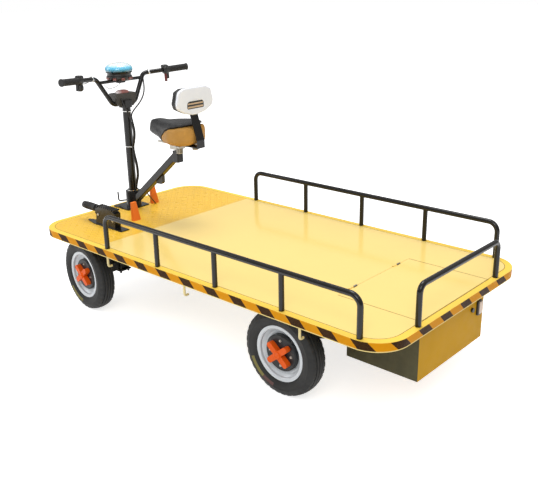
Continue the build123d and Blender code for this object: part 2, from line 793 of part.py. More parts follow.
# Drag link: from the column's drop arm to the left knuckle; its knuckle eye is the looser one
drag_start = (column_x + pitman_reach * rest_cosine, pitman_reach * rest_sine)
drag_end = (front_axle_x + pitman_reach * rest_cosine, kingpin_y + pitman_reach * rest_sine)
drag_z = arm_top_z + 2.0
drag_run = (drag_end[0] - drag_start[0], drag_end[1] - drag_start[1])
drag_length = math.hypot(*drag_run)
rod_start = link_eye_radius - 2.0
with BuildPart() as drag_link:
    with BuildSketch(Plane.XY.offset(drag_z)):
        with Locations(drag_start, drag_end):
            Circle(link_eye_radius)
    extrude(amount=link_eye_height)
    drag_axis = Vector(drag_run[0], drag_run[1], 0).normalized()
    drag_origin = Vector(drag_start[0], drag_start[1], drag_z + link_eye_height / 2)
    with BuildSketch(Plane(origin=drag_origin + drag_axis * rod_start, z_dir=drag_axis)):
        Circle(link_radius)
    extrude(amount=drag_length - 2 * rod_start)
    with BuildSketch(Plane.XY.offset(drag_z)):
        with Locations(drag_start):
            Circle(stud_radius + running_gap)
        with Locations(drag_end):
            Circle(stud_radius + open_pivot_gap)
    extrude(amount=link_eye_height, mode=Mode.SUBTRACT)
drag_link.part.label = "drag_link"
export_step(drag_link.part, "parts/drag_link.step")

# Rear axle: tubes, spring seats, brake plates, spindles and the gear casing
axle_tube_radius = 22.0
gear_case_radius = 70.0
gear_case_width = 96.0
motor_radius = 66.0
motor_length = 190.0
motor_offset_x = 128.0
motor_offset_z = 18.0
motor_x = rear_axle_x + motor_offset_x
motor_z = wheel_radius + motor_offset_z
axle_inner_y = gear_case_width / 2 - 4.0
axle_outer_y = track / 2 - drum_back - 4.0
spindle_end_y = kingpin_y + spindle_length
motor_flange_radius = motor_radius - 14.0
with BuildPart() as rear_axle:
    with BuildSketch(Plane.XZ.offset(-axle_outer_y)):
        with Locations((rear_axle_x, wheel_radius)):
            Circle(axle_tube_radius)
    extrude(amount=2 * axle_outer_y)
    with BuildSketch(Plane.XZ.offset(-spindle_end_y)):
        with Locations((rear_axle_x, wheel_radius)):
            Circle(spindle_radius)
    extrude(amount=2 * spindle_end_y)
    for side in (1, -1):
        with BuildSketch(Plane.XZ.offset(-side * (axle_outer_y - brake_plate_thickness / 2) - 1.5)):
            with Locations((rear_axle_x, wheel_radius)):
                Circle(brake_plate_radius)
        extrude(amount=brake_plate_thickness)
        with BuildSketch(Plane.XY.offset(wheel_radius - beam_size / 2)):
            with Locations((rear_axle_x, side * rear_spring_y)):
                Rectangle(beam_size, spring_width + 8.0)
        extrude(amount=beam_size)
    with BuildSketch(Plane.XZ.offset(-gear_case_width / 2)):
        with Locations((rear_axle_x, wheel_radius)):
            Circle(gear_case_radius)
        with Locations((motor_x, motor_z)):
            Circle(motor_flange_radius)
        with Locations(((rear_axle_x + motor_x) / 2, (wheel_radius + motor_z) / 2)):
            Rectangle(
                math.hypot(motor_offset_x, motor_offset_z),
                2 * motor_flange_radius,
                rotation=math.degrees(math.atan2(motor_offset_z, motor_offset_x)),
            )
    extrude(amount=gear_case_width)
rear_axle.part.label = "rear_axle"
export_step(rear_axle.part, "parts/rear_axle.step")

# Drive motor, flanged to the right of the gear casing
with BuildPart() as drive_motor:
    with BuildSketch(Plane.XZ.offset(gear_case_width / 2)):
        with Locations((motor_x, motor_z)):
            Circle(motor_radius)
    extrude(amount=motor_length)
drive_motor.part.label = "drive_motor"
export_step(drive_motor.part, "parts/drive_motor.step")

# Steering head: base plate, bearing housing and the tube through the deck
base_x = column_x + 22.0
base_length = 124.0
base_width = 140.0
base_thickness = 6.0
head_low_z = deck_height - 100.0
stop_rod_radius = 4.0
stop_rod_y = 30.0
stop_rod_reach = 88.0
stop_rod_points = (
    (column_x + 14.0, stop_rod_y, deck_height + 40.0),
    (column_x + stop_rod_reach, stop_rod_y, deck_height + 21.0),
    (column_x + stop_rod_reach + 2.0, stop_rod_y, deck_height + 68.0),
)
with BuildPart() as steering_head:
    with BuildLine():
        FilletPolyline(*stop_rod_points, radius=2 * stop_rod_radius)
    stop_rod_start = Vector(*stop_rod_points[0])
    stop_rod_heading = Vector(*stop_rod_points[1]) - stop_rod_start
    with BuildSketch(Plane(origin=stop_rod_start, z_dir=stop_rod_heading)):
        Circle(stop_rod_radius)
    sweep()
    with BuildSketch(Plane.XY.offset(deck_height)):
        with Locations((base_x, 0)):
            RectangleRounded(base_length, base_width, 8.0)
    extrude(amount=base_thickness)
    with BuildSketch(Plane.XY.offset(deck_height)):
        with Locations((column_x, 0)):
            Circle(housing_radius)
    extrude(amount=housing_top_z - deck_height)
    with BuildSketch(Plane.XY.offset(head_low_z)):
        with Locations((column_x, 0)):
            Circle(head_tube_radius)
    extrude(amount=deck_height - head_low_z)
    with BuildSketch(Plane.XY.offset(head_low_z)):
        with Locations((column_x, 0)):
            Circle(shaft_radius + running_gap)
    extrude(amount=housing_top_z - head_low_z, mode=Mode.SUBTRACT)
steering_head.part.label = "steering_head"
export_step(steering_head.part, "parts/steering_head.step")

# Steering column: tube and collar above, shaft in the head, drop arm with its stud below
collar_radius = 27.0
collar_height = 7.0
drop_arm_plane = Plane(
    origin=(column_x, 0, arm_bottom_z), x_dir=(rest_cosine, rest_sine, 0), z_dir=(0, 0, 1)
)
with BuildPart() as steering_column:
    with BuildSketch(Plane.XY.offset(housing_top_z + ear_gap)):
        with Locations((column_x, 0)):
            Circle(column_radius)
    extrude(amount=column_top_z - housing_top_z - ear_gap)
    with BuildSketch(Plane.XY.offset(housing_top_z + ear_gap)):
        with Locations((column_x, 0)):
            Circle(collar_radius)
    extrude(amount=collar_height)
    with BuildSketch(Plane.XY.offset(arm_bottom_z)):
        with Locations((column_x, 0)):
            Circle(shaft_radius)
    extrude(amount=housing_top_z + ear_gap - arm_bottom_z)
    with BuildSketch(drop_arm_plane):
        with Locations((pitman_reach / 2, 0)):
            SlotCenterToCenter(pitman_reach, arm_width)
    extrude(amount=arm_thickness)
    with BuildSketch(Plane.XY.offset(arm_top_z)):
        with Locations(drag_start):
            Circle(stud_radius)
    extrude(amount=stud_height)
steering_column.part.label = "steering_column"
export_step(steering_column.part, "parts/steering_column.step")

# Handlebar: one bent tube, with a crossbar between the risers
clearance_fit = 0.2
bar_points = (
    bar_end,
    bar_top,
    (bar_x, bar_low_y, bar_low_z),
    (bar_x, -bar_low_y, bar_low_z),
    (bar_top[0], -bar_top[1], bar_top[2]),
    (bar_end[0], -bar_end[1], bar_end[2]),
)
rise = (crossbar_z - bar_low_z) / (bar_top[2] - bar_low_z)
crossbar_y = bar_low_y + (bar_top[1] - bar_low_y) * rise
crossbar_x = bar_x + (bar_top[0] - bar_x) * rise
grip_axis = (Vector(*bar_top) - Vector(*bar_end)).normalized()
with BuildPart() as handlebar:
    with BuildLine():
        FilletPolyline(*bar_points, radius=34.0)
    with BuildSketch(Plane(origin=bar_end, z_dir=grip_axis)):
        Circle(bar_radius)
    sweep()
    with BuildSketch(Plane.XZ.offset(-crossbar_y)):
        with Locations((crossbar_x, crossbar_z)):
            Circle(crossbar_radius)
    extrude(amount=2 * crossbar_y)
handlebar.part.label = "handlebar"
export_step(handlebar.part, "parts/handlebar.step")

# Stem clamp on the column's top, gripping the middle of the bar
stem_half_width = 26.0
stem_front_x = bar_x + 17.0
stem_rear_x = column_x - 18.0
stem_top_z = bar_low_z + 18.0
with BuildPart() as stem_clamp:
    with BuildSketch(Plane.XY.offset(column_top_z)):
        with Locations(((stem_front_x + stem_rear_x) / 2, 0)):
            RectangleRounded(stem_front_x - stem_rear_x, 2 * stem_half_width, 8.0)
    extrude(amount=stem_top_z - column_top_z)
    with BuildSketch(Plane.XZ.offset(-stem_half_width)):
        with Locations((bar_x, bar_low_z)):
            Circle(bar_radius + clearance_fit)
    extrude(amount=2 * stem_half_width, mode=Mode.SUBTRACT)
stem_clamp.part.label = "stem_clamp"
export_step(stem_clamp.part, "parts/stem_clamp.step")

# Grips on the bar's ends
control_length = 30.0
control_radius = 19.0
lever_drop = 46.0
bar_ends = []
for side in (1, -1):
    end_point = Vector(bar_end[0], side * bar_end[1], bar_end[2])
    top_point = Vector(bar_top[0], side * bar_top[1], bar_top[2])
    bar_ends.append((end_point, (top_point - end_point).normalized()))
with BuildPart() as grips:
    for end_point, inward in bar_ends:
        with BuildSketch(Plane(origin=end_point - inward * 3.0, z_dir=inward)):
            Circle(grip_radius)
        extrude(amount=grip_length)
        with BuildSketch(Plane(origin=end_point - inward * clearance_fit, z_dir=inward)):
            Circle(bar_radius + clearance_fit)
        extrude(amount=grip_length, mode=Mode.SUBTRACT)
grips.part.label = "grips"
export_step(grips.part, "parts/grips.step")

# Control housings beside the grips, each with a lever hanging down
with BuildPart() as bar_controls:
    for end_point, inward in bar_ends:
        control_start = end_point + inward * (grip_length - 3.0 + seat_gap)
        control_plane = Plane(origin=control_start, x_dir=(0, 0, 1), z_dir=inward)
        with BuildSketch(control_plane):
            Circle(control_radius)
        extrude(amount=control_length)
        with BuildSketch(control_plane):
            Rectangle(lever_drop, 12.0, align=(Align.MAX, Align.CENTER))
        extrude(amount=14.0)
        with BuildSketch(control_plane):
            Circle(bar_radius + clearance_fit)
        extrude(amount=control_length, mode=Mode.SUBTRACT)
bar_controls.part.label = "bar_controls"
export_step(bar_controls.part, "parts/bar_controls.step")

# Instrument box hooding the stem, with chamfered lower corners and a raised red lens
box_rear_x = bar_x - 20.0
box_length = 60.0
box_half_width = 52.0
box_bottom_z = bar_low_z - 9.0
box_chamfer = 18.0
box_top_z = bar_low_z + 51.0
lens_top_z = box_top_z + 15.0
lens_inset = 9.0
box_plane = Plane(origin=(box_rear_x, 0, 0), x_dir=(0, 1, 0), z_dir=(1, 0, 0))
slot_radius = bar_radius + 1.0
with BuildPart() as instrument_box:
    with BuildSketch(box_plane):
        with BuildLine():
            Polyline(
                (-box_half_width + box_chamfer, box_bottom_z),
                (box_half_width - box_chamfer, box_bottom_z),
                (box_half_width, box_bottom_z + box_chamfer),
                (box_half_width - 2.0, box_top_z),
                (-box_half_width + 2.0, box_top_z),
                (-box_half_width, box_bottom_z + box_chamfer),
                close=True,
            )
        make_face()
    extrude(amount=box_length)
    with BuildSketch(Plane.XY.offset(box_bottom_z)):
        with Locations((stem_front_x + seat_gap, 0)):
            Rectangle(
                box_length, 2 * (stem_half_width + seat_gap), align=(Align.MAX, Align.CENTER)
            )
    extrude(amount=stem_top_z + seat_gap - box_bottom_z, mode=Mode.SUBTRACT)
    with BuildSketch(Plane.XZ.offset(-box_half_width)):
        with Locations((bar_x, bar_low_z)):
            Circle(slot_radius)
            Rectangle(2 * slot_radius, box_length, align=(Align.CENTER, Align.MAX))
    extrude(amount=2 * box_half_width, mode=Mode.SUBTRACT)
instrument_box.part.label = "instrument_box"
export_step(instrument_box.part, "parts/instrument_box.step")

with BuildPart() as instrument_lens:
    with BuildSketch(Plane.XY.offset(box_top_z)):
        with Locations((box_rear_x + box_length / 2, 0)):
            RectangleRounded(
                box_length - 2 * lens_inset, 2 * (box_half_width - 2 * lens_inset), 10.0
            )
    with BuildSketch(Plane.XY.offset(lens_top_z)):
        with Locations((box_rear_x + box_length / 2, 0)):
            RectangleRounded(
                box_length - 4 * lens_inset, 2 * (box_half_width - 3 * lens_inset), 8.0
            )
    loft()
instrument_lens.part.label = "instrument_lens"
export_step(instrument_lens.part, "parts/instrument_lens.step")

# Lamp over the crossbar: a black base seated on it, and a blue dome
lamp_x = crossbar_x + 7.0
lamp_base_z = crossbar_z + 3.0
lamp_split_z = crossbar_z + 41.0
lamp_edge_z = lamp_split_z + 15.0
lamp_top_z = lamp_edge_z + 29.0
lamp_base_radius = 58.0
lamp_dome_radius = 68.0
shoulder_radius = lamp_dome_radius - 26.0
shoulder_z = lamp_top_z - 5.0
crown_rise = lamp_top_z - shoulder_z
crown_radius = (shoulder_radius ** 2 + crown_rise ** 2) / (2 * crown_rise)
crown_half_angle = math.asin(shoulder_radius / crown_radius) / 2
lamp_section = Plane(origin=(lamp_x, 0, 0), x_dir=(1, 0, 0), z_dir=(0, -1, 0))
lamp_axis = Axis((lamp_x, 0, 0), (0, 0, 1))
with BuildPart() as lamp_base:
    with BuildSketch(lamp_section):
        with BuildLine():
            Polyline(
                (0, lamp_split_z),
                (0, lamp_base_z),
                (lamp_base_radius - 8.0, lamp_base_z),
                (lamp_base_radius, lamp_base_z + 8.0),
                (lamp_base_radius, lamp_split_z - 8.0),
                (lamp_dome_radius - 2.0, lamp_split_z),
                close=True,
            )
        make_face()
    revolve(axis=lamp_axis)
    with BuildSketch(Plane.XY.offset(crossbar_z - crossbar_radius - 4.0)):
        with Locations((crossbar_x, 0)):
            Rectangle(26.0, 40.0)
    extrude(amount=lamp_base_z - crossbar_z + crossbar_radius + 4.0)
    with BuildSketch(Plane.XZ.offset(-lamp_base_radius)):
        with Locations((crossbar_x, crossbar_z)):
            Circle(crossbar_radius + clearance_fit)
    extrude(amount=2 * lamp_base_radius, mode=Mode.SUBTRACT)
lamp_base.part.label = "lamp_base"
export_step(lamp_base.part, "parts/lamp_base.step")

with BuildPart() as lamp_dome:
    with BuildSketch(lamp_section):
        with BuildLine():
            Polyline(
                (0, lamp_top_z),
                (0, lamp_split_z),
                (lamp_dome_radius - 2.0, lamp_split_z),
                (lamp_dome_radius, lamp_split_z + 3.0),
                (lamp_dome_radius, lamp_edge_z),
            )
            ThreePointArc(
                (lamp_dome_radius, lamp_edge_z),
                (lamp_dome_radius - 8.0, shoulder_z - 7.5),
                (shoulder_radius, shoulder_z),
            )
            ThreePointArc(
                (shoulder_radius, shoulder_z),
                (
                    crown_radius * math.sin(crown_half_angle),
                    lamp_top_z - crown_radius * (1 - math.cos(crown_half_angle)),
                ),
                (0, lamp_top_z),
            )
        make_face()
    revolve(axis=lamp_axis)
lamp_dome.part.label = "lamp_dome"
export_step(lamp_dome.part, "parts/lamp_dome.step")

# Seat post: a square tube leaning back from the steering head to an upright socket,
# with the thin stay that runs from under it down to the tread plate
post_start_x = column_x - housing_radius + 6.0
post_foot = Vector(post_start_x, 0, post_foot_z)
post_head = Vector(socket_x, 0, post_top_z)
post_run = post_head - post_foot
post_axis = post_run.normalized()
socket_size = post_size + 3.0
socket_low_z = socket_top_z - 54.0
stay_radius = 3.0
stay_share = 0.19
stay_top = post_foot + post_run * stay_share
stay_foot_setback = 49.0
stay_foot_y = -104.0
stay_foot = Vector(column_x - stay_foot_setback, stay_foot_y, deck_height)
stay_heading = (stay_foot - stay_top).normalized()
with BuildPart() as seat_post:
    with BuildSketch(Plane(origin=post_foot, x_dir=(0, 1, 0), z_dir=post_axis)):
        RectangleRounded(post_size, post_size, 4.0)
    extrude(amount=post_run.length)
    with BuildSketch(Plane.XY.offset(socket_low_z)):
        with Locations((socket_x, 0)):
            RectangleRounded(socket_size, socket_size, 4.0)
    extrude(amount=socket_top_z - socket_low_z)
    with BuildSketch(Plane(origin=stay_top, z_dir=stay_heading)):
        Circle(stay_radius)
    extrude(amount=(stay_foot - stay_top).length + 2 * stay_radius)
    with BuildSketch(Plane.XY.offset(deck_height - post_size)):
        with Locations((column_x, 0)):
            Rectangle(deck_width, deck_width)
    extrude(amount=post_size, mode=Mode.SUBTRACT)
    with BuildSketch(Plane.XY.offset(deck_height)):
        with Locations((column_x, 0)):
            Circle(housing_radius + clearance_fit)
    extrude(amount=2 * deck_height, mode=Mode.SUBTRACT)
seat_post.part.label = "seat_post"
export_step(seat_post.part, "parts/seat_post.step")

# Saddle carrier: pillar, clamp block, two rails and the rear coil springs
pillar_radius = 12.5
carrier_thickness = 8.0
carrier_z = saddle_bottom_z - carrier_thickness
clamp_block = (52.0, 56.0, 22.0)
seat_rail_length = 180.0
seat_rail_spread = 44.0
seat_rail_x = socket_x + 20.0
spring_plate = (30.0, 130.0)
spring_plate_x = socket_x - 72.0
coil_radius = 13.0
coil_height = 26.0
coil_spread = 100.0
with BuildPart() as saddle_carrier:
    with BuildSketch(Plane.XY.offset(socket_top_z)):
        with Locations((socket_x, 0)):
            Circle(pillar_radius)
    extrude(amount=carrier_z - socket_top_z)
    with BuildSketch(Plane.XY.offset(carrier_z - clamp_block[2])):
        with Locations((socket_x, 0)):
            RectangleRounded(clamp_block[0], clamp_block[1], 6.0)
    extrude(amount=clamp_block[2])
    with BuildSketch(Plane.XY.offset(carrier_z)):
        with Locations((seat_rail_x, 0)):
            with GridLocations(0, seat_rail_spread, 1, 2):
                Rectangle(seat_rail_length, carrier_thickness)
        with Locations((spring_plate_x, 0)):
            Rectangle(*spring_plate)
    extrude(amount=carrier_thickness)
    with BuildSketch(Plane.XY.offset(carrier_z - coil_height)):
        with Locations((spring_plate_x, 0)):
            with GridLocations(0, coil_spread, 1, 2):
                Circle(coil_radius)
    extrude(amount=coil_height)
saddle_carrier.part.label = "saddle_carrier"
export_step(saddle_carrier.part, "parts/saddle_carrier.step")

# Saddle: one tapering form, parted into a tan skirt and the dark cover over it and the nose
# columns: x from the socket, half width, underside and top, both above the saddle's bottom
saddle_sections = (
    (-149.0, 34.0, 20.0, 62.0),
    (-131.0, 66.0, 8.0, 101.0),
    (-93.0, 92.0, 0.0, 107.0),
    (-43.0, 99.0, 0.0, 107.0),
    (23.0, 79.0, 0.0, 103.0),
    (77.0, 57.0, 13.0, 98.0),
    (127.0, 38.0, 32.0, 99.0),
    (161.0, 25.0, 49.0, 95.0),
    (174.0, 12.0, 60.0, 82.0),
)
# columns: x from the socket, height above the saddle's bottom
skirt_edge = (
    (26.0, -60.0),
    (26.0, 40.0),
    (-12.0, 68.0),
    (-48.0, 82.0),
    (-118.0, 94.0),
    (-200.0, 98.0),
    (-200.0, -60.0),
)
skirt_places = (
    ("saddle_skirt", socket_x - seat_gap, saddle_bottom_z - seat_gap, Mode.INTERSECT),
    ("saddle_top", socket_x, saddle_bottom_z, Mode.SUBTRACT),
)
for layer_name, edge_x, edge_z, edge_mode in skirt_places:
    with BuildPart() as saddle_layer:
        for offset_x, half_width, low_z, high_z in saddle_sections:
            section_plane = Plane(
                origin=(socket_x + offset_x, 0, saddle_bottom_z + (low_z + high_z) / 2),
                x_dir=(0, 1, 0),
                z_dir=(1, 0, 0),
            )
            with BuildSketch(section_plane):
                corner = 0.6 * min(half_width, (high_z - low_z) / 2)
                RectangleRounded(2 * half_width, high_z - low_z, corner)
        loft(ruled=True)
        with BuildSketch(Plane(origin=(edge_x, deck_width / 2, edge_z), x_dir=(1, 0, 0), z_dir=(0, -1, 0))):
            with BuildLine():
                Polyline(*skirt_edge, close=True)
            make_face()
        extrude(amount=deck_width, mode=edge_mode)
    saddle_layer.part.label = layer_name
    export_step(saddle_layer.part, f"parts/{layer_name}.step")

# Backrest outline: half breadth, height above the saddle's bottom
backrest_outline = (
    (20.0, 146.0),
    (65.0, 157.0),
    (104.0, 178.0),
    (113.0, 202.0),
    (99.0, 256.0),
    (68.0, 270.0),
)
backrest_low_z = saddle_bottom_z + backrest_outline[0][1]
backrest_middle_z = saddle_bottom_z + 208.0

# Backrest strap: from under the saddle up behind it, leaning forwards to the shell
strap_width = 45.0
strap_thickness = 6.0
strap_x = backrest_x - 24.0
strap_bend_z = saddle_bottom_z + 31.0
strap_top_x = backrest_x + 14.0
strap_foot_x = spring_plate_x - spring_plate[0] / 2
strap_plane = Plane(origin=(0, strap_width / 2, 0), x_dir=(1, 0, 0), z_dir=(0, -1, 0))
with BuildPart() as backrest_strap:
    with BuildSketch(strap_plane):
        with BuildLine():
            Polyline(
                (strap_x, saddle_bottom_z - strap_thickness),
                (strap_x, strap_bend_z),
                (strap_top_x, backrest_low_z),
                (strap_top_x + strap_thickness, backrest_low_z),
                (strap_x + strap_thickness, strap_bend_z - 1.0),
                (strap_x + strap_thickness, saddle_bottom_z),
                (strap_foot_x, saddle_bottom_z),
                (strap_foot_x, saddle_bottom_z - strap_thickness),
                close=True,
            )
        make_face()
    extrude(amount=strap_width)
backrest_strap.part.label = "backrest_strap"
export_step(backrest_strap.part, "parts/backrest_strap.step")

# Backrest: moulded shell with a recess behind, and the pad on its front
pad_share = 0.93
backrest_layers = (
    ("backrest_shell", backrest_x, backrest_depth, 1.0),
    ("backrest_pad", backrest_x + backrest_depth + seat_gap, backrest_pad_depth, pad_share),
)
recess_outline = ((-52.0, -33.0), (52.0, -33.0), (50.0, -8.0), (38.0, 3.0), (-38.0, 3.0), (-50.0, -8.0))
recess_depth = 4.0
for layer_name, rear_x, depth, share in backrest_layers:
    layer_plane = Plane(origin=(rear_x, 0, backrest_middle_z), x_dir=(0, 1, 0), z_dir=(1, 0, 0))
    right_side = [
        (share * breadth, share * (saddle_bottom_z + height - backrest_middle_z))
        for breadth, height in backrest_outline
    ]
    left_side = [(-breadth, height) for breadth, height in reversed(right_side)]
    with BuildPart() as backrest_layer:
        with BuildSketch(layer_plane) as outline_sketch:
            with BuildLine():
                Polyline(*right_side, *left_side, close=True)
            make_face()
            fillet(outline_sketch.vertices(), radius=9.0)
        extrude(amount=depth)
        if layer_name == "backrest_shell":
            with BuildSketch(layer_plane):
                with BuildLine():
                    Polyline(*recess_outline, close=True)
                make_face()
            extrude(amount=recess_depth, mode=Mode.SUBTRACT)
    backrest_layer.part.label = layer_name
    export_step(backrest_layer.part, f"parts/{layer_name}.step")

# Foot pedals: two tapered orange pads standing on the tread plate
# columns: distance behind the column, y
pedal_places = ((190.0, 140.0), (30.0, -112.0))
pedal_height = 88.0
pedal_foot = (26.0, 46.0)
pedal_tip = (16.0, 30.0)
with BuildPart() as foot_pedals:
    for pedal_setback, pedal_y in pedal_places:
        pedal_x = column_x - pedal_setback
        with BuildSketch(Plane.XY.offset(deck_height)):
            with Locations((pedal_x, pedal_y)):
                RectangleRounded(*pedal_foot, 8.0)
        with BuildSketch(Plane.XY.offset(deck_height + pedal_height)):
            with Locations((pedal_x + pedal_foot[0] / 2, pedal_y)):
                RectangleRounded(*pedal_tip, 6.0)
        loft()
foot_pedals.part.label = "foot_pedals"
export_step(foot_pedals.part, "parts/foot_pedals.step")

# Parking brake: a base plate with a pointed front, the ratchet housing, and the grip forwards
brake_y = 285.0
brake_setback = 145.0
brake_x = column_x - brake_setback
brake_base_thickness = 5.0
brake_half_width = 25.0
brake_plate_outline = (
    (-145.0, -brake_half_width),
    (75.0, -brake_half_width),
    (140.0, -6.0),
    (140.0, 6.0),
    (75.0, brake_half_width),
    (-145.0, brake_half_width),
)
ratchet_half_width = 17.0
# columns: x from the brake's middle, height above the deck
ratchet_profile = (
    (-90.0, 5.0),
    (-96.0, 78.0),
    (-60.0, 92.0),
    (15.0, 96.0),
    (60.0, 78.0),
    (62.0, 56.0),
    (52.0, 48.0),
    (60.0, 5.0),
)
brake_side = Plane(
    origin=(brake_x, brake_y + ratchet_half_width, deck_height), x_dir=(1, 0, 0), z_dir=(0, -1, 0)
)
with BuildPart() as handbrake_base:
    with BuildSketch(Plane(origin=(brake_x, brake_y, deck_height), x_dir=(1, 0, 0))):
        with BuildLine():
            Polyline(*brake_plate_outline, close=True)
        make_face()
    extrude(amount=brake_base_thickness)
    with BuildSketch(brake_side):
        with BuildLine():
            Polyline(*ratchet_profile, close=True)
        make_face()
    extrude(amount=2 * ratchet_half_width)
handbrake_base.part.label = "handbrake_base"
export_step(handbrake_base.part, "parts/handbrake_base.step")

lever_start_x = brake_x + ratchet_profile[4][0] + 2.0 + seat_gap
lever_z = deck_height + 75.0
lever_neck = 8.0
lever_grip_radius = 18.0
lever_length = 112.0
with BuildPart() as handbrake_lever:
    with BuildSketch(Plane.YZ.offset(lever_start_x)):
        with Locations((brake_y, lever_z)):
            Circle(0.7 * lever_grip_radius)
    extrude(amount=lever_neck)
    with BuildSketch(Plane.YZ.offset(lever_start_x + lever_neck)):
        with Locations((brake_y, lever_z)):
            Circle(lever_grip_radius)
    with BuildSketch(Plane.YZ.offset(lever_start_x + lever_length - lever_neck)):
        with Locations((brake_y, lever_z)):
            Circle(0.95 * lever_grip_radius)
    with BuildSketch(Plane.YZ.offset(lever_start_x + lever_length)):
        with Locations((brake_y, lever_z)):
            Circle(0.6 * lever_grip_radius)
    loft(ruled=True)
handbrake_lever.part.label = "handbrake_lever"
export_step(handbrake_lever.part, "parts/handbrake_lever.step")

# Cable loom: two cables tied to the back of the column, bowing out between the ties.
# One comes down beside the right riser, the other from behind the instrument box.
cable_radius = 3.5
column_back = column_x - column_radius - cable_radius - seat_gap
# columns: x from the column's back, height above the housing
column_route = (
    (-13.0, 355.0),
    (-25.0, 313.0),
    (-18.0, 267.0),
    (-1.0, 226.0),
    (-13.0, 180.0),
    (-26.0, 134.0),
    (-27.0, 84.0),
    (-9.0, 41.0),
    (-2.0, 11.0),
)
riser_route = (
    (column_x + 14.5, -129.0, column_top_z + 125.0),
    (column_x - 6.0, -118.0, column_top_z + 85.0),
    (column_x - 18.0, -97.0, column_top_z + 47.0),
    (column_x - 27.0, -63.0, column_top_z + 16.0),
    (column_x - 29.0, -28.0, column_top_z - 8.0),
    (column_back + 1.0, -6.0, column_top_z - 36.0),
)
box_route = (
    (box_rear_x - cable_radius - seat_gap, 33.0, column_top_z + 47.0),
    (column_x - 20.0, 33.0, column_top_z + 17.0),
    (column_x - 29.0, 20.0, column_top_z - 11.0),
    (column_back + 1.0, 6.0, column_top_z - 40.0),
)
# columns: route above the column, distance from the middle plane
cables = ((riser_route, -4.0), (box_route, 4.0))
with BuildPart() as cable_loom:
    for upper_route, cable_y in cables:
        points = [Vector(*point) for point in upper_route]
        points += [
            Vector(column_back + back_x, cable_y, housing_top_z + height)
            for back_x, height in column_route
        ]
        radii = []
        for before, corner_point, after in zip(points, points[1:], points[2:]):
            arriving = corner_point - before
            leaving = after - corner_point
            shorter_run = min(arriving.length, leaving.length)
            half_turn = math.radians(arriving.get_angle(leaving)) / 2
            radii.append(0.45 * shorter_run / math.tan(half_turn))
        print("cable radii", [round(radius, 1) for radius in radii])
        with BuildLine() as cable_path:
            FilletPolyline(*points, radius=radii)
        with BuildSketch(Plane(origin=points[0], z_dir=points[1] - points[0])):
            Circle(cable_radius)
        sweep(path=cable_path.line)
cable_loom.part.label = "cable_loom"
export_step(cable_loom.part, "parts/cable_loom.step")
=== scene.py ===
import bmesh
import bpy
import math
from mathutils import Matrix, Vector
from mathutils.bvhtree import BVHTree


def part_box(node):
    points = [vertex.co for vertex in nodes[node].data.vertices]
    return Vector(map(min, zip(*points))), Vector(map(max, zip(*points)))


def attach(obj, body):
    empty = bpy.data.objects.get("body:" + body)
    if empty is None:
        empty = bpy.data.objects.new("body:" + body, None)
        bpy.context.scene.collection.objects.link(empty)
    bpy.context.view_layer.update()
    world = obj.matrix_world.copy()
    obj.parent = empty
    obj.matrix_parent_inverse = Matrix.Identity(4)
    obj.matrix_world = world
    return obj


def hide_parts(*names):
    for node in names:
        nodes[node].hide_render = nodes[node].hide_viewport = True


# Electric platform truck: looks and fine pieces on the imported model. Metres, +X forwards, +Y left, +Z up.

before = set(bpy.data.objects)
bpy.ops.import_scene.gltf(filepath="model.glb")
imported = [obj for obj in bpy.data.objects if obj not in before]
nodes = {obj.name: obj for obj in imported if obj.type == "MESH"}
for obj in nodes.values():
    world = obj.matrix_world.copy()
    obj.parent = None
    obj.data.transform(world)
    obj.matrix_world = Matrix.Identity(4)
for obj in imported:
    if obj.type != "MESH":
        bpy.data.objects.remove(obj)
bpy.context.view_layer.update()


scene = bpy.context.scene


# Node helpers

# words that a look uses for the shader's sockets
level_sockets = {
    "metallic": "Metallic",
    "gloss": "Specular IOR Level",
    "coat": "Coat Weight",
    "coat_rough": "Coat Roughness",
    "glow": "Subsurface Weight",
    "glow_radius": "Subsurface Radius",
    "glow_scale": "Subsurface Scale",
}


def rgb(red, green, blue):
    """An eight-bit screen colour as linear light."""
    values = []
    for value in (red, green, blue):
        share = value / 255
        values.append(share / 12.92 if share <= 0.04045 else ((share + 0.055) / 1.055) ** 2.4)
    return tuple(values)


def shade(colour, factor):
    return tuple(min(1.0, channel * factor) for channel in colour)


def new_material(name):
    material = bpy.data.materials.new(name)
    material.use_nodes = True
    return material


